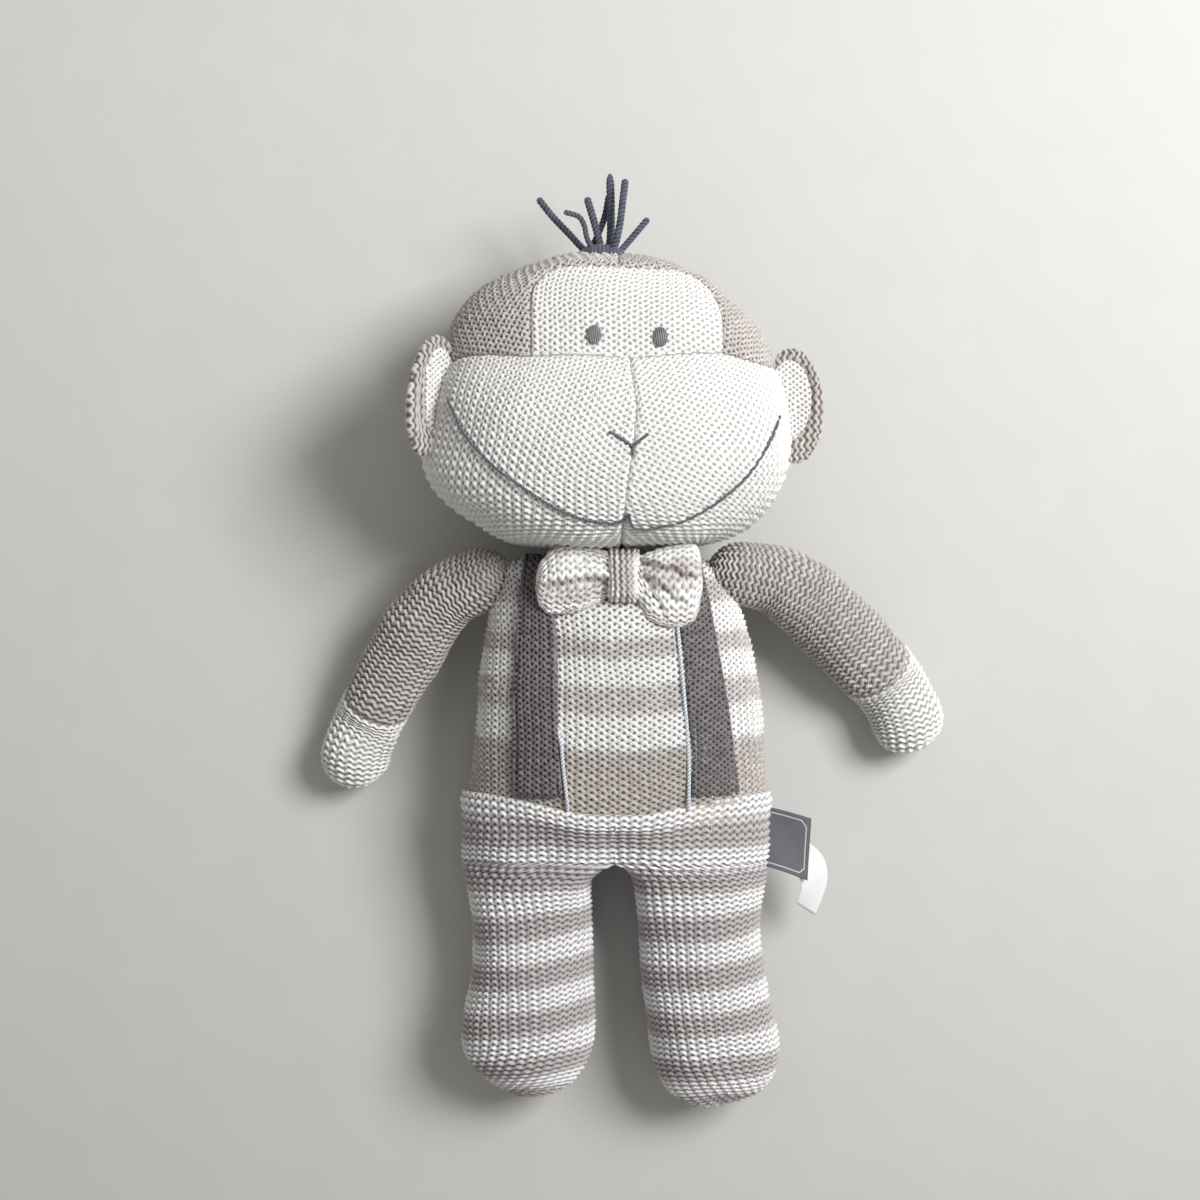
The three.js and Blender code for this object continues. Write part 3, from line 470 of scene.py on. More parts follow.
def addLip(flat, normals, faces, faceUv, triangles, depth):
    edges = np.concatenate([faces[:, [i, (i + 1) % 4]] for i in range(4)])
    marks = np.concatenate([faceUv[:, [i, (i + 1) % 4]] for i in range(4)])
    if len(triangles):
        more = np.concatenate([triangles[:, [i, (i + 1) % 3]] for i in range(3)])
        edges = np.concatenate([edges, more])
        marks = np.concatenate([marks, np.zeros((len(more), 2, 2))])
    key = np.sort(edges, axis=1) @ np.array([len(flat), 1])
    _, first, count = np.unique(key, return_index=True, return_counts=True)
    single = first[count == 1]
    rim, rimUv = edges[single], marks[single]
    corners = np.unique(rim)
    corners = corners[corners < len(normals)]
    inner = np.zeros(len(flat), int)
    inner[corners] = len(flat) + np.arange(len(corners))
    flat = np.vstack([flat, flat[corners] - depth * normals[corners]])
    walls = np.stack([rim[:, 1], rim[:, 0], inner[rim[:, 0]], inner[rim[:, 1]]], 1)
    wallUv = np.stack([rimUv[:, 1], rimUv[:, 0], rimUv[:, 0], rimUv[:, 1]], 1)
    return flat, np.vstack([faces, walls]), np.concatenate([faceUv, wallUv])


def joined(pieces, name):
    for piece in pieces:
        piece.select_set(True)
    bpy.context.view_layer.objects.active = pieces[0]
    bpy.ops.object.join()
    whole = bpy.context.object
    whole.name = name
    bpy.ops.object.select_all(action="DESELECT")
    return whole


def levelGrid(shape, step=pitch):
    # Rows square to y through a form given by its left, right, front, back and widest height along y
    y, left, right = shape["y"], shape["left"], shape["right"]
    front, back, widest = shape["front"], shape["back"], shape["widest"]
    travel = np.zeros(len(y))
    for line in (left, right, front):
        travel[1:] += np.hypot(np.diff(y), np.diff(line)) / 3
    travel = np.cumsum(travel)
    place = evenPlaces(travel[-1], step)
    if not shape.get("poles", True):
        place = np.linspace(0, travel[-1], len(place))

    def at(line):
        return np.interp(place, travel, line)[:, None]

    angle = fullTurn(ringSteps)[None, :]
    cos, sin = np.cos(angle), np.sin(angle)
    middle, half = (at(left) + at(right)) / 2, (at(right) - at(left)) / 2
    power = 2 / shape.get("power", 2.0)
    backPower = 2 / shape.get("backPower", 2.3)
    exponent = np.where(sin > 0, power, backPower)
    x = middle + half * np.sign(cos) * np.abs(cos) ** exponent
    reach = np.where(sin > 0, at(front) - at(widest), at(widest) - at(back))
    z = at(widest) + reach * np.sign(sin) * np.abs(sin) ** exponent
    return resample(x, at(y)[:, 0], z, place, step, ringSteps // 2)


def resample(x, y, z, place, step, frontIndex):
    # Spaces the columns evenly along each row, wider apart on the underside
    length = np.hypot(np.diff(x, axis=1), np.diff(z, axis=1))
    lowest = 0.45 * z.max()
    weight = np.where((z[:, 1:] + z[:, :-1]) / 2 > lowest, 1.0, backCoarse)
    counted = np.concatenate([np.zeros((len(x), 1)), np.cumsum(length * weight, axis=1)], axis=1)
    true = np.concatenate([np.zeros((len(x), 1)), np.cumsum(length, axis=1)], axis=1)
    columns = int(counted[:, -1].max() / step)
    share = np.linspace(0, 1, columns + 1)
    points = np.zeros((len(x), columns, 3))
    across = np.zeros((len(x), columns + 1))
    for i in range(len(x)):
        spot = share * counted[i, -1]
        points[i, :, 0] = np.interp(spot[:-1], counted[i], x[i])
        points[i, :, 2] = np.interp(spot[:-1], counted[i], z[i])
        across[i] = true[i, frontIndex] - np.interp(spot, counted[i], true[i])
    points[:, :, 1] = y[:, None]
    return points, across, -place[:, None] * np.ones_like(across)


def widen(values):
    # Repeats the first column after the last, where the grid closes
    return np.concatenate([values, values[:, :1]], axis=1)


def swell(points, size, seed, amount):
    # Uneven stuffing: crossing waves along and across
    drift = np.random.default_rng(seed)
    total = np.zeros(points.shape[:2])
    for _ in range(7):
        direction = drift.normal(size=3)
        direction /= np.linalg.norm(direction)
        total += np.sin(points @ direction * tau / (size * drift.uniform(0.7, 1.5)) + drift.uniform(0, tau))
    return amount * total / 2.6


def grooved(distance, width, depth):
    # Seam: pulled in on the line, a little full on both sides of it
    share = distance / width
    return -depth * np.exp(-share ** 2) + 0.25 * depth * np.exp(-((np.abs(share) - 2.4) / 1.3) ** 2)


def raised(points, height, wrap=True):
    normals = gridNormals(points, wrap)
    moved = points + normals * height[:, :, None]
    moved[:, :, 2] = np.maximum(moved[:, :, 2], floorGap)
    return moved


def knitUv(u, v):
    return np.stack([u, v], axis=-1)


# Materials of the knitted pieces

creamColours = (srgb(242, 240, 236), srgb(253, 252, 249))
taupeColours = (srgb(176, 168, 162), srgb(229, 223, 218))


def knitPaint(name, knit, colours, streak=0.5, shade=0.55, stripes=None, mottle=0.5, below=None):
    paint = Paint(name, Roughness=0.92, Sheen_Weight=0.22, Sheen_Roughness=0.5, Specular_IOR_Level=0.2)
    u, v = paint.uv()
    openness, swing = knit["open"], knit["wave"]
    if below:
        low, high = ((edge + shift[1]) * mm for edge in below["rows"])
        rows = 1 - paint.split(paint.place())[1].between(low, high)
        openness = openness + rows * (below["open"] - openness)
        swing = swing + rows * (below["wave"] - swing)
    wave = (u * tau).sin()
    lifted = v - wave * swing
    ridge = (lifted * tau).cos() * 0.5 + 0.5
    gap = (1 - ridge).atLeast(0.0) ** knit["round"] * (wave * wave * (1 - openness) + openness)
    # Yarn colour changes along the yarn, from stitch to stitch, and in fine twisted plies
    strand = paint.noise(paint.point(u * 0.45, lifted * 1.1), 1.0, 3.0, 0.6)
    spot = paint.chance(paint.point((u - 0.25).floor(), (lifted + 0.5).floor()))
    ply = ((u * 5.0 + lifted * 2.2) * tau).sin() * 0.5 + 0.5
    fibre = paint.noise(paint.place(), 2200.0, 2.0, 0.6)
    tone = (strand - 0.5) * (2.0 * streak) + (spot - 0.5) * mottle
    tone = tone + (ply - 0.5) * 0.22 + (fibre - 0.5) * 0.5 + 0.5
    if stripes is None:
        colour = paint.mix(tone.between(0.0, 1.0), colours[0], colours[1])
    else:
        colour = stripes(paint, u, v, tone)
    # Painted shade: the gaps between the stitches are darkened as painted shade, and the tops of the rows are made a
    # little lighter as a painted highlight, on top of the mesh's real relief
    light = 1 - gap.between(0.2, 0.85) * shade
    colour = paint.tint(colour, light * (0.94 + ridge * 0.06))
    bump = ply * 0.5 + fibre * 0.8 - gap * 1.3
    return paint.finish(colour, bump, depth=0.42, strength=0.85)


def dress(piece, material, body, nodes):
    # Gives a finished piece its material, body and place in the record
    piece.data.materials.append(material)
    if body is not None:
        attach(piece, body)
    if nodes:
        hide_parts(*nodes)
    return piece


# Head: one stuffed form, covered by four panels

headShape = {
    "left": [
        [141.2, 1.7], [141.1, -8], [139.8, -18.4], [135.7, -31.6], [129.9, -43], [122.6, -52.5], [113.6, -59.4],
        [104, -62.6], [96, -63.6], [88, -66.8], [78.5, -69.6], [66, -72], [57, -71.8], [51, -70.6], [46, -68.2],
        [42.6, -65.6], [39.4, -62.3], [36.1, -58.2], [32.8, -53.6], [29.5, -48.6], [26.2, -42.6], [23.6, -35],
        [21.6, -24], [20.7, -10], [20.5, 3],
    ],
    "right": [
        [141.2, 1.7], [141.1, 11], [139.8, 21.7], [135.7, 33.2], [129.9, 43.9], [122.6, 53.3], [113.6, 62.4],
        [104, 68.6], [96, 70.6], [88, 73.6], [78.5, 76], [66, 77.8], [57, 77], [47, 74], [39, 69.7],
        [34, 65], [28.7, 58], [24.3, 48], [21.6, 34], [20.7, 18], [20.5, 3],
    ],
    "front": [
        [141.2, 46], [139.8, 57], [135.7, 66], [130, 73.2], [122.6, 79.4], [113.6, 84], [104, 86.4], [97, 87],
        [92, 91], [85, 96], [75, 99.6], [65, 100.6], [55, 100.2], [45, 98], [38, 95.4], [32, 91.8], [28, 88],
        [25, 83], [23.4, 77], [22.3, 69.5], [21.3, 59], [20.5, 45],
    ],
    "back": [
        [141.2, 46], [139.6, 34], [135, 21.5], [128, 11], [118, 4], [108, 0.6], [92, 0.2], [70, 0.2], [52, 0.6],
        [42, 3.5], [33, 11.5], [26, 24], [22, 34], [20.5, 45],
    ],
    "widest": 47.0,
    "power": 2.25,
    "backPower": 2.3,
}
seams = {
    "brow": [
        [-75, 95.4], [-62, 95.8], [-56, 97.4], [-47.6, 97.8], [-26, 96.6], [0, 96.4], [12.6, 95.6], [39.5, 97.7],
        [50, 98], [62, 96], [68, 94.8], [80, 94],
    ],
    "middle": [[20, 8.6], [26, 8.9], [40, 10.2], [50, 11.6], [58, 12.8], [70, 14], [78, 14], [88, 12.6], [97, 11.8]],
    "sideZ": 36.0, "sideCorner": 13.0,
    "patch": {"middleX": 10.8, "halfWidth": 38.4, "top": 134.2, "cornerLeft": 14.0, "cornerRight": 24.0},
    "width": 0.9, "depth": 0.85, "middleDepth": 0.75,
    "crownX": 7.5, "crownFrom": 118.0, "crownWidth": 0.8, "crownDepth": 0.7,
}


def quarter(count):
    return np.linspace(0, math.pi / 2, count)


def headLines():
    # Heights lie closer together towards the crown and the chin
    top, crown, chinTop, bottom = 141.2, 138, 24, 20.5
    y = np.concatenate([
        top - 3.2 * (1 - np.cos(quarter(120)))[:-1],
        np.linspace(crown, chinTop, 600),
        chinTop - (chinTop - bottom) * np.sin(quarter(160))[1:],
    ])
    lines = {side: sideAt(headShape[side], y) for side in ("left", "right", "front", "back")}
    lines["y"] = y
    lines["widest"] = np.full(len(y), headShape["widest"])
    lines["power"] = headShape["power"]
    lines["backPower"] = headShape["backPower"]
    return lines


headForm = headLines()


def formFront(form, x, y):
    # Height of a level form's front at x and y
    order = np.argsort(form["y"])
    left, right = (np.interp(y, form["y"][order], form[side][order]) for side in ("left", "right"))
    front = np.interp(y, form["y"][order], form["front"][order])
    widest = np.interp(y, form["y"][order], form["widest"][order])
    power = form.get("power", 2.0)
    off = np.clip(np.abs((x - (left + right) / 2) / ((right - left) / 2)), 0, 0.999)
    return widest + (front - widest) * (1 - off ** power) ** (1 / power)


def formNormal(form, x, y):
    step = 0.6
    slopeX = (formFront(form, x + step, y) - formFront(form, x - step, y)) / (2 * step)
    slopeY = (formFront(form, x, y + step) - formFront(form, x, y - step)) / (2 * step)
    normal = np.stack([-slopeX, -slopeY, np.ones_like(slopeX)], axis=-1)
    return normal / np.linalg.norm(normal, axis=-1, keepdims=True)


def onForm(form, x, y, lift=0.0):
    x, y = np.asarray(x, float), np.asarray(y, float)
    lift = np.asarray(lift, float)
    base = np.stack([x, y, formFront(form, x, y)], axis=-1)
    return base + formNormal(form, x, y) * lift[..., None]


far = 99


def seamFields(points):
    # How far each point lies inside the muzzle, right of its middle seam and inside the forehead patch
    x, y, z = points[..., 0], points[..., 1], points[..., 2]
    below, ahead = profile(seams["brow"], x) - y, (z - seams["sideZ"]) * 0.8
    corner = seams["sideCorner"]
    rounded = corner - np.hypot(np.maximum(corner - below, 0), np.maximum(corner - ahead, 0))
    muzzle = np.where(np.minimum(below, ahead) < corner, rounded, np.minimum(below, ahead))
    middle = x - profile(seams["middle"], y)
    patch = seams["patch"]
    corner = np.where(x < patch["middleX"], patch["cornerLeft"], patch["cornerRight"])
    outX = np.abs(x - patch["middleX"]) - (patch["halfWidth"] - corner)
    outY = y - (patch["top"] - corner)
    away = np.minimum(np.maximum(outX, outY), 0) + np.hypot(np.maximum(outX, 0), np.maximum(outY, 0)) - corner
    forehead = np.where(z > 40, -away, -30.0)
    return muzzle, middle, forehead


# Slope of the rows and of the columns of stitches on the left muzzle, right muzzle, forehead and hair
panelRows = {"lean": (-0.2, 0.24, -0.03, 0.42), "shear": (-0.26, 0.33, -0.09, 0.34)}


def buildHead():
    points, across, _ = levelGrid(headForm)
    # Rows of stitches are counted down the front of the face
    topY, topZ = headForm["y"][0], headShape["front"][0][1]
    fall = np.hypot(np.diff(headForm["y"], prepend=topY), np.diff(headForm["front"], prepend=topZ))
    lengthways = -np.interp(-points[:, :1, 1], -headForm["y"], np.cumsum(fall)) + 0 * across
    muzzle, middle, forehead = seamFields(points)
    isMuzzle = muzzle > 0
    isPatch = ~isMuzzle & (forehead > 0)
    x, y = points[..., 0], points[..., 1]
    crown = x - seams["crownX"]
    panel = np.where(isMuzzle, np.where(middle < 0, 0, 1), np.where(isPatch, 2, 3))
    # Each panel's rows of stitches run their own way
    level = smoothStep(y, 22, 100)
    left, right, patch, hair = panelRows["lean"]
    lean = widen(np.choose(panel, [left * level, right * level, patch + 0 * x, np.where(crown < 0, hair, -hair)]))
    left, right, patch, hair = panelRows["shear"]
    shear = widen(np.choose(panel, [left + 0 * x, right + 0 * x, patch + 0 * x, np.where(crown < 0, hair, -hair)]))
    reach = np.clip(across, -105, 105)
    u = (across + shear * lengthways) / plainKnit["wale"]
    v = (lengthways - lean * reach) / plainKnit["course"]
    u, v = wander(u + widen(panel) * 0.37, v, plainKnit, 11)
    away = np.minimum(np.abs(muzzle), np.where(isMuzzle, far, np.abs(forehead)))
    middleAway = np.where(isMuzzle, np.abs(middle), far)
    crownAway = np.where((panel == 3) & (y > seams["crownFrom"]), np.abs(crown), far)
    seam = grooved(away, seams["width"], seams["depth"])
    seam = seam + grooved(crownAway, seams["crownWidth"], seams["crownDepth"])
    seam = seam + grooved(middleAway, seams["width"], seams["middleDepth"])
    away = np.minimum(away, middleAway)
    # Under the chin the rows stand out more than the gaps between the stitches
    rows = widen(1 - smoothStep(y, *chin["rows"]))
    knit = dict(plainKnit)
    for key in ("open", "wave"):
        knit[key] = plainKnit[key] + (chin[key] - plainKnit[key]) * rows
    fabric = knitRelief(u, v, knit, 3)[:, :-1] * (0.35 + 0.65 * smoothStep(away, 0.2, 1.6))
    height = fabric + seam + swell(points, 34, 5, 0.5)
    surface = raised(points, height)
    uv = knitUv(u, v)
    # A face belongs to the panel that most of its corners lie in
    votes = np.sort(panel.ravel()[cornersOf(points)], axis=1)
    owner = np.where(votes[:, 1] == votes[:, 2], votes[:, 1], votes[:, 2])
    covers = [
        ("muzzle_left_knit", creamPaint, "cream_knit", ["muzzle_left"]),
        ("muzzle_right_knit", creamPaint, "cream_knit", ["muzzle_right"]),
        ("forehead_knit", creamPaint, "cream_knit", ["forehead_panel"]),
        ("hair_knit", taupePaint, "taupe_knit", ["hair_cover", "head_stuffing"]),
    ]
    outward = formOutward(points)
    for i, (name, paint, slot, nodes) in enumerate(covers):
        caps = (i == 3, i == 3)
        piece = gridPiece(name, surface, uv, keep=owner == i, caps=caps, lip=1.2, outward=outward)
        dress(piece, paint, "head", nodes)


creamPaint = knitPaint("cream knit", plainKnit, creamColours, streak=0.3, shade=0.48, mottle=0.12, below=chin)
taupePaint = knitPaint("taupe knit", plainKnit, taupeColours, streak=0.45, shade=0.78, mottle=0.12, below=chin)
buildHead()
print("head done")


# Body: sweater front and back

bodyShape = {
    "centreX": 6.5, "top": 20.4, "length": 128.4, "width": 126.6, "depth": 72.0, "end": -92.0,
    "shift": [[0, -3.2], [0.17, -0.8], [0.3, 0.6], [0.7, 1.2], [1, -0.2]],
    "wide": [[0, 0.75], [0.17, 0.82], [0.3, 0.87], [0.5, 0.92], [0.7, 0.945], [0.85, 0.985], [1, 1]],
    "deep": [[0, 0.86], [0.2, 0.93], [0.5, 1], [0.75, 0.95], [1, 0.82]],
    "shoulderRound": 9.0, "neckRound": 30.0, "seamZ": 36.0, "tuck": 1.3, "sagTop": 2.5, "sagMore": 4.0,
}


def bodyLines():
    shape = bodyShape
    top = shape["top"]
    y = np.concatenate([
        top - shape["shoulderRound"] * (1 - np.cos(quarter(160)))[:-1],
        np.linspace(top - shape["shoulderRound"], shape["end"], 500),
    ])
    t = (top - y) / shape["length"]
    middle = shape["centreX"] + profile(shape["shift"], t)
    fullDepth = shape["depth"] / 2 * profile(shape["deep"], t)
    half = shape["width"] / 2 * profile(shape["wide"], t) * dome(top - y, shape["shoulderRound"])
    depth = fullDepth * dome(top - y, shape["neckRound"])
    # Narrower where it goes under the trousers
    tucked = shape["tuck"] * smoothStep(-y, 78, 86)
    centre = fullDepth - 0.5
    return {
        "y": y, "left": middle - half + tucked, "right": middle + half - tucked,
        "front": centre + depth - tucked, "back": np.maximum(centre - depth, 0.2), "widest": centre,
        "power": 2.0, "backPower": 2.2,
    }


bodyForm = bodyLines()


hem = {"middleX": 6.5, "half": 56.0, "soft": 50.0}


def hemSag(x):
    # The trousers' hem and the sweater's stripes hang lower in the middle
    return smoothStep(hem["half"] - np.abs(x - hem["middleX"]), 0, hem["soft"])


def stripeColour(paint, places, colours, factor):
    # Stripe colour at a place: bands with soft edges
    stops = [(place, colour) for place, colour in zip(places, colours)]
    return Wire(paint, paint.node("ValToRGB", {"stops": stops}, {"Fac": factor}).outputs["Color"])


sweaterStripes = {
    "from": -96.0, "to": 24.0,
    # [height above the shoulders' line, colour there]: the colours blend from one to the next
    "bands": [
        [-63.0, "beige"], [-57.5, "beige"], [-56.5, "taupe"], [-55.5, "taupe"], [-54.0, "pale"], [-43.5, "pale"],
        [-40.5, "taupe"], [-32.5, "taupe"], [-29.5, "pale"], [-21.5, "pale"], [-19.0, "taupe"], [-14.0, "taupe"],
        [-11.0, "pale"], [-2.0, "pale"], [1.0, "taupe"], [8.0, "taupe"], [11.0, "pale"], [18.0, "pale"],
    ],
}
stripeDark = {"beige": srgb(170, 161, 154), "pale": srgb(230, 228, 226), "taupe": srgb(173, 167, 167)}
stripeLight = {"beige": srgb(216, 209, 202), "pale": srgb(253, 252, 250), "taupe": srgb(228, 224, 223)}


def sweaterColour(paint, u, v, tone):
    stripes = sweaterStripes
    span = stripes["to"] - stripes["from"]
    place = (v * bodyKnit["course"] - stripes["from"]) / span
    place = place + (paint.noise(paint.point(u * 0.8, v * 0.8), 1.0, 1.0) - 0.5) * 0.03
    places = [(height - stripes["from"]) / span for height, _ in stripes["bands"]]
    dark = stripeColour(paint, places, [stripeDark[name] for _, name in stripes["bands"]], place)
    light = stripeColour(paint, places, [stripeLight[name] for _, name in stripes["bands"]], place)
    return paint.mix(tone.between(0.0, 1.0), dark, light)


# Arms are sized here, because the sweater closes round their shoulders

armShapes = [
    {
        "name": "left", "side": -1, "ball": 12.7, "drop": 11.6,
        "swell": [[0, 1], [0.16, 1], [0.28, 1.12], [0.45, 1.2], [0.7, 1.11], [1, 1.1]],
        "route": [
            [13.8, -6.9], [25.7, -19.6], [33.5, -32.6], [42.7, -48.4], [49, -60.5], [53.8, -70.8], [57, -88],
        ],
    },
    {
        "name": "right", "side": 1, "ball": 13.0, "drop": 9.4,
        "swell": [[0, 1], [0.16, 1], [0.28, 1.18], [0.45, 1.25], [0.7, 1.2], [1, 1.16]],
        "route": [[15.5, -3], [28.3, -11], [42.5, -23], [55.3, -36.5], [64, -46], [71.6, -59], [75, -75]],
    },
]
armShape = {
    "cover": 0.8, "handZ": 13.4, "shoulderZ": 36.0, "proud": 4.0, "flat": 0.95, "tipRound": 1.12,
    "wristAt": 0.7, "bend": 3.2,
}


def shoulderOf(spec):
    y = bodyShape["top"] - spec["drop"]
    t = spec["drop"] / bodyShape["length"]
    half = bodyShape["width"] / 2 * profile(bodyShape["wide"], t)
    middle = bodyShape["centreX"] + profile(bodyShape["shift"], t)
    return np.array([middle + spec["side"] * (half + armShape["proud"]), y, armShape["shoulderZ"]])


def armhole(points):
    # The sweater is drawn over the inner end of each sleeve
    for spec in armShapes:
        centre = shoulderOf(spec)
        away = points - centre
        distance = np.linalg.norm(away, axis=-1)
        cover = spec["ball"] + armShape["cover"]
        inner = smoothStep(-spec["side"] * away[..., 0], 3.0, 8.0)
        over = 0.5 * (cover - distance + np.sqrt((cover - distance) ** 2 + 1.5))
        points = points + away / distance[..., None] * (inner * over * (over > 0.05))[..., None]
    return points


def buildBody():
    points, across, _ = levelGrid(bodyForm)
    points = armhole(points)
    x, y, z = points[..., 0], points[..., 1], points[..., 2]
    sag = hemSag(x) * (bodyShape["sagTop"] + bodyShape["sagMore"] * smoothStep(-y, 0, 85))
    u = across / bodyKnit["wale"]
    v = widen(y + sag) / bodyKnit["course"]
    u, v = wander(u, v, bodyKnit, 21)
    seam = grooved(z - bodyShape["seamZ"], 1.0, 0.7)
    height = knitRelief(u, v, bodyKnit, 4)[:, :-1] + seam + swell(points, 38, 8, 0.55)
    surface = raised(points, height)
    inFront = z.ravel()[cornersOf(points)].mean(axis=1) > bodyShape["seamZ"]
    uv = knitUv(u, v)
    shared = {"lip": 1.0, "outward": formOutward(points)}
    front = gridPiece("sweater_front_knit", surface, uv, keep=inFront, **shared)
    back = gridPiece("sweater_back_knit", surface, uv, keep=~inFront, caps=(True, True), **shared)
    dress(front, sweaterPaint, "torso", ["sweater_front"])
    dress(back, sweaterPaint, "torso", ["sweater_back", "body_stuffing"])


sweaterPaint = knitPaint("sweater knit", bodyKnit, None, streak=0.5, shade=0.74, stripes=sweaterColour, mottle=0.15)
buildBody()
print("body done")


# Trousers: two halves that part at the crotch into the legs

trouserShape = {
    "middleX": 5.7, "hemY": -84.6, "hemDrop": 3.4, "hemRise": 4.2, "crotchY": -108.0, "splitY": -106.0,
    "morphFrom": -82.0, "morphTo": -142.0, "archDepth": 9.5, "cornerAngle": 140.0,
    "bodyFront": [[-130, 60], [-108, 64], [-96, 65.2], [-84, 66], [-70, 66.5]],
    "roll": 1.5, "rollRows": 6, "proud": 1.2, "hip": [0.0, -124.0, 24.0],
}
legShapes = [
    {
        "name": "left", "side": -1, "tip": -208.4, "tilt": 0.14,
        "outer": [
            [-78, -54.2], [-84, -55], [-93, -56.4], [-102.4, -57], [-112.9, -56.6], [-124, -54.8], [-135.6, -53.4],
            [-150, -53.2], [-161.2, -54], [-170, -55.8], [-177.2, -57.1], [-186.8, -56.9], [-193, -54.6],
            [-198.6, -50], [-203.2, -44], [-206.1, -38.5], [-207.8, -34], [-208.4, -30.5],
        ],
        "inner": [
            [-78, 5.7], [-100, 5.7], [-108, 1], [-112, -2.4], [-118, -4.2], [-130, -4.2], [-145, -3.6], [-161.2, -3.2],
            [-170, -2.8], [-178.4, -2.5], [-188.9, -4.2], [-194, -6.4], [-198.6, -9.4], [-203, -14], [-206.1, -19],
            [-207.8, -25], [-208.4, -30.5],
        ],
        "front": [
            [-78, 47], [-110, 47], [-125, 47.6], [-145, 48.8], [-165, 50.2], [-180, 49.6], [-190, 46.5], [-198, 41],
            [-204, 34], [-207.4, 28.5], [-208.4, 24],
        ],
        "back": [[-78, 0.2], [-178, 0.2], [-188, 2], [-197, 7], [-203.5, 13.5], [-207.3, 19.5], [-208.4, 24]],
    },
    {
        "name": "right", "side": 1, "tip": -212.3, "tilt": 0.09,
        "outer": [
            [-78, 67.8], [-84, 68.4], [-93, 69.4], [-102.4, 69.7], [-112, 69.4], [-121.7, 68.6], [-133, 67.7],
            [-144, 67.6], [-158, 68.8], [-172.1, 71], [-179, 73.2], [-186, 74.6], [-193, 74.2], [-199, 72],
            [-204.5, 67.6], [-209, 60.5], [-211.4, 53.5], [-212.3, 46.5],
        ],
        "inner": [
            [-78, 5.7], [-100, 5.7], [-108, 10], [-112, 12], [-118, 13.4], [-130, 15.2], [-144, 17.2], [-158, 18.4],
            [-172.1, 19.7], [-184, 21.2], [-193.5, 23], [-200, 26], [-205.3, 30], [-209, 35], [-211.4, 40.5],
            [-212.3, 46.5],
        ],
        "front": [
            [-78, 47], [-110, 47], [-125, 47.6], [-145, 49], [-165, 50.4], [-183, 49.8], [-194, 46.5], [-202, 41],
            [-208, 34], [-211.3, 28.5], [-212.3, 24],
        ],
        "back": [[-78, 0.2], [-182, 0.2], [-192, 2], [-201, 7], [-207.5, 13.5], [-211.2, 19.5], [-212.3, 24]],
    },
]


def trouserSection(spec, y, angle):
    # Points of one half's rows: half of the body above, a whole leg below, with a wall between the halves
    shape = trouserShape
    side = spec["side"]
    outer, inner = sideAt(spec["outer"], y)[:, None], sideAt(spec["inner"], y)[:, None]
    front, back = sideAt(spec["front"], y)[:, None], sideAt(spec["back"], y)[:, None]
    corner = math.radians(shape["cornerAngle"])
    size = np.abs(angle)
    legX = (outer + inner) / 2 + side * np.abs(outer - inner) / 2 * np.cos(angle)
    sin = np.sin(angle)
    legZ = (front + back) / 2 + (front - back) / 2 * np.sign(sin) * np.abs(sin) ** 0.95
    bodyFront = profile(shape["bodyFront"], y)[:, None]
    turn = np.clip(angle / corner, -1, 1) * math.pi / 2
    wall = np.clip((size - corner) / (math.pi - corner), 0, 1)
    bodyX = shape["middleX"] + (outer - shape["middleX"]) * np.cos(turn)
    bodyZ = bodyFront / 2 + bodyFront / 2 * np.sin(turn) * (1 - wall)
    yy = y[:, None]
    depthShare = smoothStep(-yy, -shape["morphFrom"], -shape["morphTo"])
    arch = dome(np.clip(shape["crotchY"] - yy, 0, None), shape["archDepth"])
    near = smoothStep(size, math.radians(78), corner)
    widthShare = depthShare * (1 - near) + arch * near
    return bodyX * (1 - widthShare) + legX * widthShare, bodyZ * (1 - depthShare) + legZ * depthShare


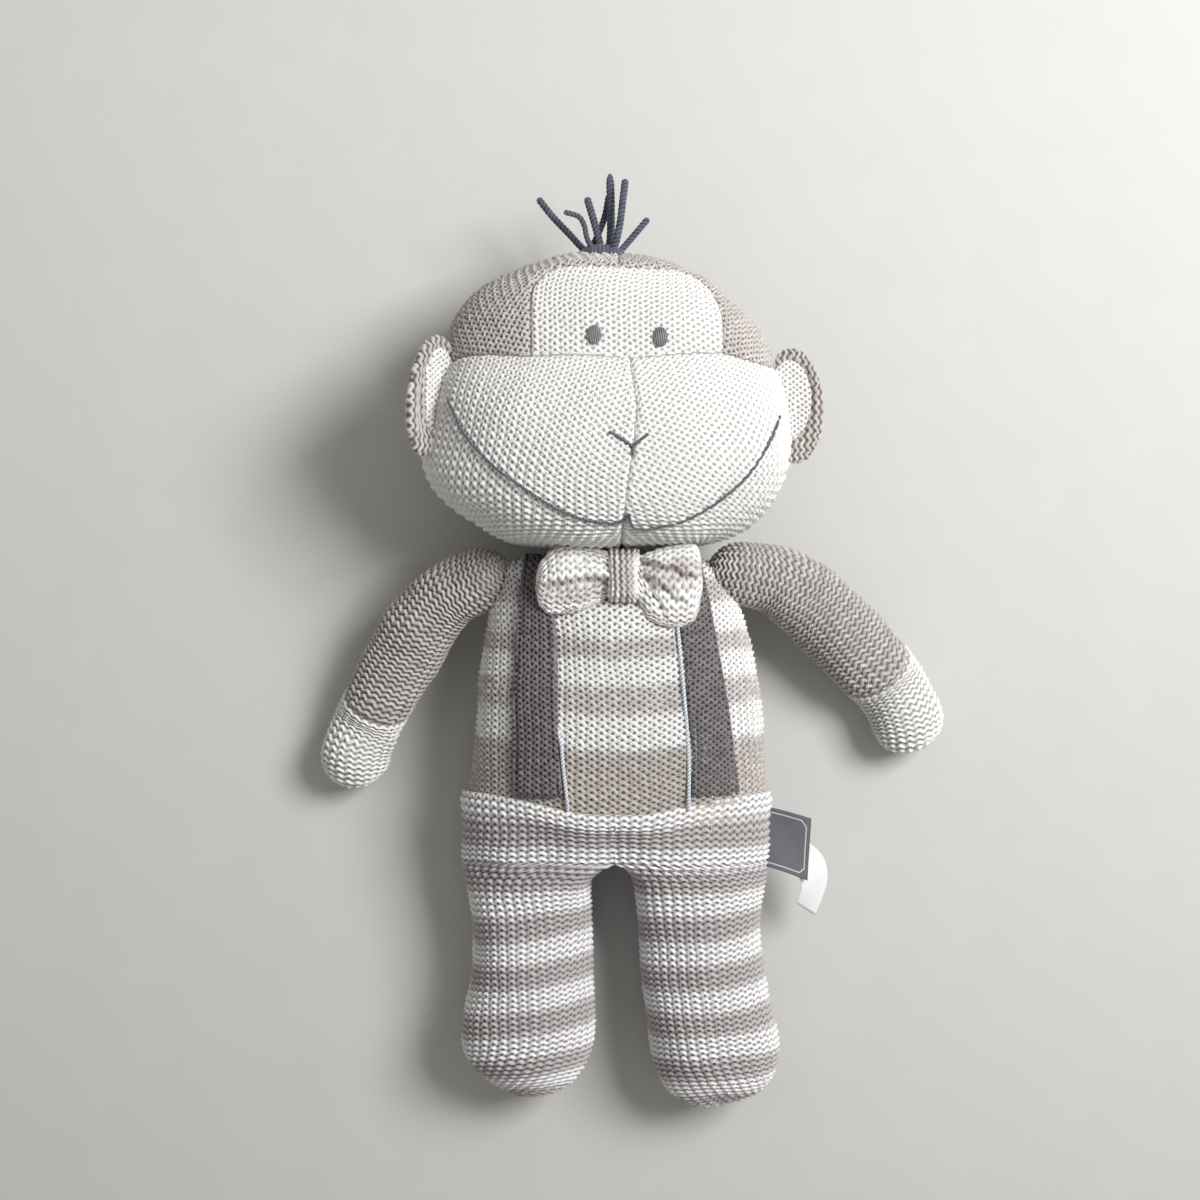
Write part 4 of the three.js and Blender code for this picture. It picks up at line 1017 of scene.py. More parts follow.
def buildTrousers():
    shape = trouserShape
    angle = np.linspace(-math.pi, math.pi, ringSteps + 1)[None, :]
    seatParts = []
    for spec in legShapes:
        tip = spec["tip"]
        y = np.concatenate([
            np.linspace(shape["hemY"], tip + 4, 900)[:-1],
            tip + 4 * (1 - np.sin(quarter(160))),
        ])
        lines = [sideAt(spec[name], y) for name in ("outer", "inner", "front")]
        travel = runningSum(sum(np.hypot(np.diff(y), np.diff(line)) for line in lines) / 3)
        # The two outlines are only alike below the crotch, so above it only y counts
        atCrotch = np.interp(-shape["crotchY"], -y, travel)
        below = travel - atCrotch + y[0] - shape["crotchY"]
        travel = np.where(y > shape["crotchY"], y[0] - y, below)
        place = np.append(np.arange(0, travel[-1] - 0.5, pitch), travel[-1] - 0.2)
        rowY = np.interp(place, travel, y)
        splitRow = int(np.argmin(np.abs(rowY - shape["splitY"])))
        x, z = trouserSection(spec, rowY, angle)
        z = aboveFloor(z)
        cornerIndex = ringSteps // 2 + int(ringSteps // 2 * shape["cornerAngle"] / 180)
        points, across, _ = resample(x, rowY, z, place, pitch, cornerIndex)
        # Above the crotch the halves are one tube: their walls fold into one line in front and one behind
        joint = (rowY > shape["crotchY"])[:, None] & (np.abs(points[..., 0] - shape["middleX"]) < 1e-4)
        isLate = (np.arange(points.shape[1]) > points.shape[1] // 2)[None, :]
        foldFront, foldBack = joint & isLate, joint & ~isLate
        frontZ = np.where(foldFront, points[..., 2], 0).max(axis=1, keepdims=True)
        backZ = np.where(foldBack, points[..., 2], 99).min(axis=1, keepdims=True)
        across[:, :-1] = np.where(foldFront, 0, across[:, :-1])
        if spec["side"] > 0:
            across = -across
        edge = 1 - smoothStep(-points[..., 1], 84.6, 100)
        sag = hemSag(points[..., 0])
        points[..., 1] += edge * (shape["hemRise"] * (1 - sag) - shape["hemDrop"] * sag)
        middle = (sideAt(spec["outer"], rowY) + sideAt(spec["inner"], rowY))[:, None] / 2
        lower = smoothStep(-points[..., 1], 108, 136)
        front = smoothStep(points[..., 2], 10, 30)
        rise = spec["tilt"] * (points[..., 0] - middle) * lower * (2 * front - 1)
        u = 0.25 + across / rowKnit["wale"]
        v = (-place[:, None] + shape["hemY"] - widen(rise)) / rowKnit["course"]
        u, v = wander(u, v, rowKnit, 31)
        # The turned-over hem stands a little proud of the sweater
        fromHem = place[:, None] * np.ones_like(points[..., 0])
        band = shape["proud"] * (1 - smoothStep(fromHem, 2, 11)) + 0.5 * np.exp(-((fromHem - 3) / 2.2) ** 2)
        height = knitRelief(u, v, rowKnit, 6)[:, :-1] + swell(points, 36, 40, 0.6) + band
        normals = gridNormals(points, True)
        slope = np.gradient(frontZ[:, 0], rowY)
        ahead = np.stack([0 * slope, -slope, 1 + 0 * slope], 1) / np.sqrt(1 + slope ** 2)[:, None]
        normals = np.where(foldFront[..., None], ahead[:, None], normals)
        points[..., 2] = np.where(foldFront, frontZ, np.where(foldBack, backZ, points[..., 2]))
        isBehind = (rowY > shape["crotchY"])[:, None] & ~isLate
        fromFold = np.where(isBehind, np.abs(points[..., 0] - shape["middleX"]), far)
        height = height * smoothStep(fromFold, 0, 3)
        surface = points + normals * height[:, :, None]
        surface[..., 2] = np.maximum(surface[..., 2], floorGap)
        uv = knitUv(u, v)
        # Rolled edge: turns in under the hem
        roll, turns = [], shape["rollRows"]
        for step in range(1, turns + 1):
            bend = step / turns * math.pi
            down = shape["roll"] * math.sin(bend)
            inwards = shape["roll"] * (1 - math.cos(bend))
            ring = surface[0] - normals[0] * inwards
            ring[:, 1] += down
            ring[:, 2] = np.maximum(ring[:, 2], floorGap)
            roll.append(ring)
        rollUv = [uv[0] + np.array([0.0, 0.25 * step]) for step in range(1, turns + 1)]
        surface = np.concatenate([np.array(roll[::-1]), surface])
        uv = np.concatenate([np.array(rollUv[::-1]), uv])
        corners = cornersOf(surface)
        outward = formOutward(points)
        upper = corners[:, 0] // surface.shape[1] < splitRow + turns
        folds = [np.concatenate([np.repeat(fold[:1], turns, axis=0), fold]) for fold in (foldFront, foldBack)]
        inFront, behind = (fold.ravel()[corners] for fold in folds)
        inside = (inFront | behind).all(axis=1) & (inFront.any(axis=1) & behind.any(axis=1))
        name = spec["name"]
        seatParts.append(gridPiece("seat_half_" + name, surface, uv, keep=upper & ~inside, outward=outward))
        isLeg = ~upper & ~inside
        leg = gridPiece(f"trouser_leg_{name}_knit", surface, uv, keep=isLeg, caps=(False, True), outward=outward)
        nodes = ["trouser_leg_" + name, "leg_stuffing_" + name]
        dress(leg, trouserPaint, None, nodes)
        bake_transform(leg)
    seat = joined(seatParts, "trouser_seat_knit")
    bpy.context.view_layer.objects.active = seat
    seat.select_set(True)
    bpy.ops.object.mode_set(mode="EDIT")
    bpy.ops.mesh.select_all(action="SELECT")
    bpy.ops.mesh.remove_doubles(threshold=0.04 * mm)
    bpy.ops.object.mode_set(mode="OBJECT")
    bpy.ops.object.select_all(action="DESELECT")
    dress(seat, trouserPaint, "torso", ["trouser_seat"])


trouserStripes = {"period": 19.7, "paleAt": -86.0, "dark": srgb(195, 188, 188), "light": srgb(249, 248, 247)}


def trouserColour(paint, u, v, tone):
    stripes = trouserStripes
    loose = (paint.noise(paint.point(u * 0.7, v * 0.9), 1.0, 2.0) - 0.5) * 2.4
    place = (v * rowKnit["course"] + loose - stripes["paleAt"]) / stripes["period"]
    band = (place * tau).cos() * 0.5 + 0.5
    colour = paint.mix(band.between(0.12, 0.88), stripes["dark"], stripes["light"])
    return paint.tint(colour, 0.86 + tone * 0.2)


trouserPaint = knitPaint("trouser knit", rowKnit, None, streak=0.5, shade=0.68, stripes=trouserColour, mottle=0.12)
buildTrousers()
print("trousers done")


# Arms: sleeve and hand over one stuffed form

def buildArms():
    for spec in armShapes:
        centre = shoulderOf(spec)
        side, name, ball = spec["side"], spec["name"], spec["ball"]
        # The arm comes down from the shoulder's height to the hand's, two points before its end
        high, sinks, count = armShape["shoulderZ"], armShape["handZ"] - armShape["shoulderZ"], len(spec["route"]) - 2
        beyond = [
            [centre[0] + side * dx, centre[1] + dy, high + sinks * min(1, (i + 1) / count)]
            for i, (dx, dy) in enumerate(spec["route"])
        ]
        inward = centre - np.array(beyond[0])
        start = centre + inward / np.linalg.norm(inward) * ball
        line = smoothLine([start, centre, *beyond])
        length = along(line)
        total = length[-1]
        # Rows are close together where the ends round off
        ease = ball * (1 - np.cos(quarter(60)))
        spots = np.concatenate([ease, np.linspace(ball, total - ball, 300)[1:-1], total - ease[::-1]])
        share = spots / total
        radius = ball * profile(spec["swell"], share)
        radius = radius * dome(spots, ball) * dome(total - spots, ball * armShape["tipRound"])
        flat = 1 + (armShape["flat"] - 1) * smoothStep(share, 0.15, 0.3)
        dense = placedOn(line, length, spots)
        tangent = np.gradient(dense, axis=0)
        tangent /= np.maximum(np.linalg.norm(tangent, axis=1, keepdims=True), 1e-9)
        travel = runningSum(np.hypot(np.diff(spots), np.diff(radius)))
        place = evenPlaces(travel[-1], pitch)
        spot = np.interp(place, travel, spots)
        axis, ahead = placedOn(dense, travel, place), placedOn(tangent, travel, place)
        wide = np.cross([0, 0, 1.0], ahead)
        wide /= np.linalg.norm(wide, axis=1, keepdims=True)
        deep = np.cross(ahead, wide)
        a, b = np.interp(place, travel, radius), np.interp(place, travel, radius * flat)
        angle = fullTurn(int(tau * a.max() / pitch))
        sideways = a[:, None, None] * wide[:, None] * np.cos(angle)[None, :, None]
        upwards = b[:, None, None] * deep[:, None] * np.sin(angle)[None, :, None]
        points = (axis[:, None] + sideways + upwards)[:, :-1]
        points[..., 2] = aboveFloor(points[..., 2])
        around = (angle - math.pi / 2)[None, :] * (a + b)[:, None] / 2
        # The seam of the wrist bows towards the fingers
        top = np.clip(np.sin(angle), 0, 1)[None, :]
        fromWrist = spot[:, None] - total * armShape["wristAt"] - armShape["bend"] * (top - 0.4)
        isHand = fromWrist > 0
        knit = sleeveKnit
        u, downSleeve = around / knit["wale"], -place[:, None] / knit["course"] + 0 * around
        sleeveU, sleeveV = wander(u, downSleeve, knit, 51 + side)
        handU, handV = wander(u, -fromWrist / knit["course"], knit, 61 + side)
        fabric = np.where(isHand, knitRelief(handU, handV, knit, 7), knitRelief(sleeveU, sleeveV, knit, 8))
        away = np.abs(fromWrist)
        height = fabric * (0.3 + 0.7 * smoothStep(away, 0.2, 1.6)) + grooved(away, 1.0, 1.3)
        height = height[:, :-1] + swell(points, 24, 70 + side, 0.5)
        surface = raised(points, height)
        hand = isHand[:, :-1].ravel()[cornersOf(points)].mean(axis=1) > 0.5
        shared = {"lip": 1.2, "outward": formOutward(points)}
        sleeveUv, handUv = knitUv(sleeveU, sleeveV), knitUv(handU, handV)
        sleeve = gridPiece(f"sleeve_{name}_knit", surface, sleeveUv, keep=~hand, caps=(True, False), **shared)
        mitten = gridPiece(f"hand_{name}_knit", surface, handUv, keep=hand, caps=(False, True), **shared)
        body = "arm_" + name
        dress(sleeve, sleevePaint, body, ["sleeve_" + name, "arm_stuffing_" + name])
        dress(mitten, handPaint, body, ["hand_" + name])


sleeveColours = (srgb(165, 156, 151), srgb(226, 220, 215))
sleevePaint = knitPaint("sleeve knit", sleeveKnit, sleeveColours, streak=0.55, shade=0.66, mottle=0.12)
handPaint = knitPaint("hand knit", sleeveKnit, creamColours, streak=0.3, shade=0.6, mottle=0.1)
buildArms()
print("arms done")


# Ears: a cupped oval sewn on by one edge, cream patch inside

earShape = {
    "thick": 7.8, "rimCourse": 2.6, "rimRelief": 0.65, "curl": 1.6, "reach": 13.5, "girth": 19.0,
    "step": 0.42,
}
ears = [
    {
        "name": "left", "side": -1, "lean": 48.0, "root": [-59.0, 81.8, 59.0], "tilt": -0.16,
        "wide": 13.5, "tall": 24.4,
        "patch": {"at": 9.0, "wide": 8.2, "rise": 0.5, "tall": 19.5},
    },
    {
        "name": "right", "side": 1, "lean": -14.0, "root": [68.2, 80.2, 44.0], "tilt": 0.03,
        "wide": 12.3, "tall": 23.8,
        "patch": {"at": 9.2, "wide": 10.2, "rise": 2.0, "tall": 16.8},
    },
]


def buildEars():
    shape = earShape
    for spec in ears:
        lean = math.radians(spec["lean"])
        side = spec["side"]
        out = np.array([side * math.cos(lean), 0, math.sin(lean)])
        faceOut = np.array([-side * math.sin(lean), 0, math.cos(lean)])
        step = shape["step"]
        count = int(shape["reach"] / step * 1.25)
        spread = np.sin(np.linspace(0.02, math.pi / 2, count))
        reach = np.concatenate([spread, spread[::-1][1:]])
        isBack = np.arange(len(reach)) >= count
        bead = smoothStep(reach, 0.5, 0.9)
        front = shape["thick"] / 2 * np.sqrt(np.clip(1 - reach ** 3, 0, 1)) * (0.25 + 0.75 * bead)
        back = -shape["thick"] / 2 * np.sqrt(np.clip(1 - reach ** 2, 0, 1))
        rise = np.where(isBack, back, front)[:, None]
        angle = np.linspace(0, tau, int(tau * shape["girth"] / step) + 1)[None, :-1]
        b = spec["tall"] * reach[:, None] * np.sin(angle)
        a = spec["wide"] * (1 + reach[:, None] * np.cos(angle)) + spec["tilt"] * b * (1 if side < 0 else -1)
        curl = shape["curl"] * (reach[:, None] * np.cos(angle)) ** 2
        root = np.array(spec["root"])
        points = root + a[..., None] * out + (rise + curl)[..., None] * faceOut
        points[..., 1] += b
        oval = spec["patch"]
        patch = 1 - ((a - oval["at"]) / oval["wide"]) ** 2 - ((b - oval["rise"]) / oval["tall"]) ** 2
        patch = np.where(isBack[:, None], -1.0, patch)
        isPatch = patch > 0
        patchU, patchV = wander(a / fineKnit["wale"], b / fineKnit["course"], fineKnit, 81)
        rimU, rimV = wander(b / sleeveKnit["wale"], a / shape["rimCourse"], sleeveKnit, 83)
        rimFabric = shape["rimRelief"] * knitRelief(rimU, rimV, sleeveKnit, 9)
        fabric = np.where(isPatch, knitRelief(patchU, patchV, fineKnit, 9), rimFabric)
        away = np.abs(patch) * 4.5
        height = fabric * (0.3 + 0.7 * smoothStep(away, 0.1, 1.2)) + grooved(away, 0.7, 1.0)
        surface = raised(points, height)
        inner = isPatch.ravel()[cornersOf(points)].mean(axis=1) > 0.5
        shared = {"lip": 0.8, "outward": formOutward(points)}
        name, body = spec["name"], "ear_" + spec["name"]
        patchUv, rimUv = knitUv(widen(patchU), widen(patchV)), knitUv(widen(rimU), widen(rimV))
        front = gridPiece(f"ear_front_{name}_knit", surface, patchUv, keep=inner, caps=(True, False), **shared)
        back = gridPiece(f"ear_back_{name}_knit", surface, rimUv, keep=~inner, caps=(False, True), **shared)
        dress(front, finePaint, body, ["ear_front_" + name])
        dress(back, rimPaint, body, ["ear_back_" + name])


finePaint = knitPaint("fine cream knit", fineKnit, creamColours, streak=0.3, shade=0.6, mottle=0.15)
rimPaint = knitPaint("rim knit", sleeveKnit, taupeColours, streak=0.5, shade=0.72, mottle=0.2)
buildEars()
print("ears done")


# Yarn and thread: plies twisted along a line

def yarnPaint(name, dark, light, roughness=0.85, fibreTone=0.5):
    paint = Paint(name, Roughness=roughness, Sheen_Weight=0.15, Sheen_Roughness=0.5, Specular_IOR_Level=0.3)
    u, v = paint.uv()
    crown = (u * tau).cos() * 0.5 + 0.5
    hair = paint.noise(paint.point(u * 3.0, v * 1.2), 2.0, 3.0, 0.6)
    drift = paint.noise(paint.place(), 260.0, 2.0)
    tone = (hair - 0.5) * fibreTone + (drift - 0.5) * 0.6 + 0.5
    # Painted shade: the grooves between the twisted plies are painted darker and the ply tops kept light, besides the
    # bump
    colour = paint.tint(paint.mix(tone.between(0.0, 1.0), dark, light), 0.45 + crown * 0.55)
    return paint.finish(colour, hair * 0.6 + crown * 0.5, depth=0.25, strength=0.7)


def twistedTube(name, line, radius, plies=3, lay=3.2, step=0.3, sides=30, taper=1.0):
    # A tube of plies that wind round the line once in every lay millimetres times the number of plies
    length = along(line)
    total = length[-1]
    body = np.linspace(0, total, max(8, int(total / step)))
    ends = np.array([0.0, 0.1, 0.3, 0.6]) * radius
    place = np.unique(np.concatenate([ends, body[(body > ends[-1]) & (body < total - ends[-1])], total - ends]))
    centre = placedOn(line, length, place)
    tangent = np.gradient(centre, axis=0)
    tangent /= np.linalg.norm(tangent, axis=1, keepdims=True)
    wide = np.zeros_like(centre)
    spare = np.array([0, 0, 1.0]) if abs(tangent[0, 2]) < 0.9 else np.array([1.0, 0, 0])
    for i, direction in enumerate(tangent):
        spare = spare - direction * (spare @ direction)
        spare /= np.linalg.norm(spare)
        wide[i] = spare
    deep = np.cross(tangent, wide)
    angle = np.linspace(0, tau, sides + 1)[None, :]
    turn = angle - place[:, None] * tau / (lay * plies)
    crown = np.abs(np.cos(turn * plies / 2)) ** 0.8
    end = dome(place + 0.02, radius * taper) * dome(total - place + 0.02, radius * taper)
    reach = radius * end[:, None] * (0.78 + 0.22 * crown)
    points = centre[:, None] + reach[..., None] * (
        wide[:, None] * np.cos(angle)[..., None] + deep[:, None] * np.sin(angle)[..., None])
    uv = knitUv(turn * plies / tau, place[:, None] / lay + 0 * angle)
    return gridPiece(name, points[:, :-1], uv, caps=(True, True))


# Face: two satin-stitched eyes, nose and smile in thread

faceShape = {
    "eyes": {
        "left": {"x": -2.2, "y": 104.2, "wide": 2.85, "tall": 3.75},
        "right": {"x": 23.6, "y": 103.3, "wide": 2.85, "tall": 4.0},
    },
    "eyeRise": 1.7, "satin": 0.85, "threadRadius": 0.68, "smileRadius": 0.6, "stitch": 4.6,
    "nose": [
        [[3.3, 65.2], [8, 62.7], [12.6, 59.6]], [[18.8, 64.5], [16.2, 62.4], [12.8, 59.6]],
        [[12.7, 60.2], [12.8, 58.2], [12.7, 56]],
    ],
    "smile": [
        [-59.8, 79.6], [-57, 73.6], [-54.3, 67.6], [-50.3, 62], [-45, 56.3], [-39, 50.7], [-31.1, 45.2],
        [-23.4, 40.1], [-15.6, 35.6], [-7.8, 32.6], [0, 31], [7, 30.8], [10.2, 32.6], [11.3, 34], [11.7, 31.4],
        [13.2, 29.2], [17.6, 28.4], [23.4, 29.4], [31.2, 31.2], [39, 34.7], [44.9, 38.2], [50.9, 42.8],
        [57.1, 48.6], [62.2, 55.5], [67.3, 64.1], [71.1, 73.5],
    ],
}


def onFace(points, radius, dip, stitch):
    # Thread laid on the knitting, drawn down where each stitch goes through it
    flat = smoothLine(points, 24)
    travel = along(flat)
    lift = radius * 1.1 + 0.6 - dip * np.abs(np.cos(travel / stitch * math.pi)) ** 10
    return onForm(headForm, flat[:, 0], flat[:, 1], lift)


def buildFace():
    shape = faceShape
    for name, eye in shape["eyes"].items():
        reach = np.sin(np.linspace(0.03, math.pi / 2, 26))[:, None]
        angle = np.linspace(0, tau, 97)[None, :-1]
        a, b = eye["wide"] * reach * np.cos(angle), eye["tall"] * reach * np.sin(angle)
        ridge = np.abs(np.cos((a + 0.15 * b) / shape["satin"] * math.pi))
        rise = shape["eyeRise"] * np.sqrt(np.clip(1.02 - reach ** 2.4, 0, 1)) + 0.3 * ridge + 0.75
        points = onForm(headForm, eye["x"] + a, eye["y"] + b, rise)
        uv = knitUv(widen((a + 0.15 * b) / shape["satin"]), widen(b / 2.0))
        piece = gridPiece(f"eye_{name}_thread", points, uv, caps=(True, False), lip=1.8)
        dress(piece, eyePaint, "head", ["eye_" + name])
    thick = shape["threadRadius"]
    stitches = [
        twistedTube("nose_part", onFace(points, thick, 1.4, 1000), thick, plies=2, lay=1.5, step=0.25)
        for points in shape["nose"]
    ]
    dress(joined(stitches, "nose_thread"), threadPaint, "head", ["nose_stitches"])
    smile = twistedTube("smile_stitch", onFace(shape["smile"], shape["smileRadius"], 0.6, shape["stitch"]),
                        shape["smileRadius"], plies=2, lay=1.4, step=0.25, sides=20)
    dress(smile, threadPaint, "head", ["smile_thread"])


threadPaint = yarnPaint("face thread", srgb(72, 73, 82), srgb(134, 135, 143), roughness=0.55)
eyePaint = yarnPaint("satin stitch", srgb(84, 86, 94), srgb(172, 173, 178), roughness=0.45, fibreTone=1.2)
buildFace()
print("face done")


# Tuft: cut ends of twisted yarn from a wrapped knot on the crown

tuftShape = {
    "centre": [1.5, 138.5, 50.0], "knot": [9.5, 4.4, 5.2], "knotAt": [0.6, 141.0, 50.5], "wraps": 1.6,
    "strands": [
        {
            "radius": 1.5, "point": 0.9,
            "route": [[-7.4, 4.6, -2.2], [-14.4, 12, -3.5], [-21.4, 19.5, -4], [-27, 26.4, -3]],
        },
        {
            "radius": 1.15, "point": 0.9,
            "route": [[-5.4, 6, 3.2], [-7, 9.5, 5], [-7.8, 13.4, 6], [-10, 17, 7], [-16.2, 19, 7.5]],
        },
        {"radius": 1.6, "point": 0.9, "route": [[-1.6, 7.8, -1.8], [-3.3, 14.6, -3], [-6.9, 27, -4.4]]},
        {"radius": 1.4, "point": 0.8, "route": [[-4.4, 6, -4.2], [-2.2, 12, -5.6], [0.4, 19, -6], [2.2, 28, -5]]},
        {"radius": 1.75, "point": 2.6, "route": [[2.6, 7.7, -2], [3, 20, -2], [2.6, 36.4, -3]]},
        {"radius": 1.55, "point": 0.9, "route": [[4.6, 6.2, 3.6], [6.5, 14, 5.2], [7.8, 24, 5], [8.9, 33, 3.6]]},
        {"radius": 1.4, "point": 0.9, "route": [[6.6, 4.4, -2.2], [11, 9.4, -3.2], [18.4, 18.2, -3.6]]},
    ],
}


def buildTuft():
    shape = tuftShape
    centre = np.array(shape["centre"])
    for i, strand in enumerate(shape["strands"]):
        route = centre + np.array(strand["route"])
        root = centre + (route[0] - centre) * 0.45
        line = smoothLine([root, *route], 24)
        piece = twistedTube(f"tuft_yarn_{i + 1}", line, strand["radius"], lay=1.7, step=0.28, taper=strand["point"])
        dress(piece, yarn, "tuft", [f"tuft_strand_{i + 1}"])
    # The knot: yarn wound round the strands' foot
    polar = np.linspace(0.04, math.pi - 0.04, 60)[:, None]
    angle = np.linspace(0, tau, 120)[None, :-1]
    wrap = np.abs(np.sin((polar * shape["knot"][0] + 0.12 * np.cos(angle)) / shape["wraps"] * math.pi))
    size = 1 + 0.1 * (wrap - 0.5)
    local = np.stack([
        -np.cos(polar) * shape["knot"][0] + 0 * angle,
        np.sin(polar) * np.cos(angle) * shape["knot"][1] * size,
        np.sin(polar) * np.sin(angle) * shape["knot"][2] * size,
    ], axis=-1)
    u, v = polar * shape["knot"][0] / shape["wraps"] + 0 * angle, angle * 3.0 + 0 * polar
    points = np.array(shape["knotAt"]) + local
    knot = gridPiece("tuft_wrapping", points, knitUv(widen(u), widen(v)), caps=(True, True))
    dress(knot, yarn, "tuft", ["tuft_binding"])


yarn = yarnPaint("tuft yarn", srgb(64, 68, 84), srgb(120, 124, 140), fibreTone=0.9)
buildTuft()
print("tuft done")


# Braces: knitted bands sewn on the sweater's front, a thin cord along the inner edge

braceShape = {
    "topDrop": 4.0, "bottomDrop": 108.0, "firstDrop": 6.0, "lastDrop": 103.0, "thick": 2.0, "edge": 0.9,
    "cordRadius": 0.8, "cordFrom": 28.0, "seamDepth": 0.9, "seamAt": 2.4, "seamWidth": 0.55,
    "sinks": (97.0, 103.0), "tuck": 1.7, "tucks": (70.0, 80.0),
}
braceSides = [
    {
        "name": "left", "side": -1,
        "inner": [[0, -27.8], [0.1, -26.2], [0.25, -24], [0.6, -23], [0.8, -22], [1, -20]],
        "outer": [[0, -37.9], [0.3, -40], [0.6, -41.3], [1, -41.2]],
    },
    {
        "name": "right", "side": 1,
        "inner": [[0, 23.5], [0.25, 25], [0.6, 28], [0.8, 29.4], [1, 29.6]],
        "outer": [[0, 35], [0.3, 40], [0.6, 45], [0.8, 47.6], [1, 50.4]],
    },
]


def buildBraces():
    shape = braceShape
    for spec in braceSides:
        drop = np.arange(shape["topDrop"], shape["bottomDrop"], 0.5 * pitch / finePitch)[:, None]
        t = (drop - shape["firstDrop"]) / (shape["lastDrop"] - shape["firstDrop"])
        inner, outer = profile(spec["inner"], t), profile(spec["outer"], t)
        share = np.linspace(-1, 1, int(17 / pitch * 1.15))[None, :]
        x = bodyShape["centreX"] + (inner + outer) / 2 + (inner - outer) / 2 * share
        y = bodyShape["top"] - drop + 0 * share
        width = np.abs(inner - outer)
        edge = (1 - np.abs(share)) * width / 2
        u, v = wander((x - x.min()) / bandKnit["wale"], y / bandKnit["course"], bandKnit, 91 + spec["side"])
        plump = shape["thick"] * dome(edge, 1.6) - shape["edge"] * (1 - dome(edge, 1.6)) + 0.8
        seam = -shape["seamDepth"] * np.exp(-((edge - shape["seamAt"]) / shape["seamWidth"]) ** 2)
        # The lower end goes under the trousers' hem
        sunk = smoothStep(drop, *shape["sinks"])
        fabric = knitRelief(u, v, bandKnit, 10) * smoothStep(edge, 0.2, 1.5)
        lift = (plump + fabric + seam) * (1 - sunk) - 1.2 * sunk
        points = onForm(bodyForm, x, y, lift)
        faces = gridFaces(*points.shape[:2], False)[0]
        band = gridPiece("brace_" + spec["name"] + "_knit", points, knitUv(u, v), wrap=False, lip=1.6,
                         outward=facesUp(points.reshape(-1, 3), faces))
        dress(band, bracePaint, "torso", ["brace_" + spec["name"]])
        drop = np.linspace(shape["cordFrom"], shape["lastDrop"] + 2, 120)
        t = (drop - shape["firstDrop"]) / (shape["lastDrop"] - shape["firstDrop"])
        # The left cord hides under the band's edge higher up
        tuck = shape["tuck"] * (1 - smoothStep(drop, *shape["tucks"])) if spec["side"] < 0 else 0.0
        x = bodyShape["centreX"] + profile(spec["inner"], t) - spec["side"] * (shape["cordRadius"] - tuck)
        line = onForm(bodyForm, x, bodyShape["top"] - drop, shape["cordRadius"] + 0.9 - tuck * 0.8)
        name = "piping_" + spec["name"]
        cord = twistedTube(name + "_cord", line, shape["cordRadius"], plies=2, lay=1.5, sides=20)
        dress(cord, pipingPaint, "torso", [name])


braceColours = (srgb(84, 80, 81), srgb(156, 150, 150))
bracePaint = knitPaint("brace knit", bandKnit, braceColours, streak=0.6, shade=0.85, mottle=0.1)
pipingPaint = yarnPaint("piping cord", srgb(206, 214, 226), srgb(240, 244, 250), roughness=0.7, fibreTone=0.3)
buildBraces()
print("braces done")


# Bow: two gathered loops and a knot of ribs

bowShape = {
    "middleY": 9.0, "tilt": -0.1, "clear": 2.6, "courses": 25, "girth": 66.0,
    "loops": [
        {
            "name": "left", "side": -1, "rootX": 3.4, "stripeAt": 2.0,
            "top": [[0, 18.6], [6.7, 21.3], [13.6, 22.6], [21.6, 20.8], [26, 17], [28.7, 13], [29.8, 8.5]],
            "bottom": [[0, 1.6], [6.7, -2.4], [14.8, -5.2], [21.6, -5.4], [26.8, -2.4], [29.1, 3], [29.8, 8.5]],
            "folds": [
                {"from": [1, 8.0], "to": [27, 5.0], "depth": 5.0, "width": 1.7},
                {"from": [0, 13.2], "to": [15, 16.6], "depth": 2.6, "width": 1.5, "over": -1},
                {"from": [0, 4.5], "to": [14, -1.2], "depth": 1.8, "width": 1.5},
            ],
        },
        {
            "name": "right", "side": 1, "rootX": 15.4, "stripeAt": 5.2,
            "top": [[0, 17.6], [6.6, 20], [15.5, 22.3], [21, 22.2], [24, 19.6], [25.6, 14.5], [26.1, 6]],
            "bottom": [
                [0, -0.5], [1.2, -4.6], [3.4, -7], [7.9, -9.8], [14.7, -11], [20.7, -10.2],
                [24.2, -5], [25.7, 1], [26.1, 6],
            ],
            "folds": [
                {"from": [1, 15.4], "to": [23, 9.0], "depth": 4.2, "width": 1.7},
                {"from": [4.0, 5.6], "to": [11.6, -9.5], "depth": 4.0, "width": 1.6, "over": -1},
                {"from": [2, 10.5], "to": [20, -2.5], "depth": 2.0, "width": 1.6},
            ],
        },
    ],
    "front": [[0, 68.4], [0.25, 71.6], [0.6, 72.2], [0.85, 70.4], [0.97, 67.2], [1, 63.6]],
    "back": [[0, 59.6], [0.25, 57.6], [0.6, 57.2], [0.85, 58.4], [0.97, 61], [1, 63.6]],
    "knot": {
        "left": 3.1, "right": 15.9, "top": 20.3, "bottom": -0.4, "front": 72.6, "back": 58.0, "round": 4.5,
        "rim": 65.0, "widest": 64.0, "waist": 0.5, "pinch": 1.2, "slope": 0.1, "power": 2.4,
    },
}


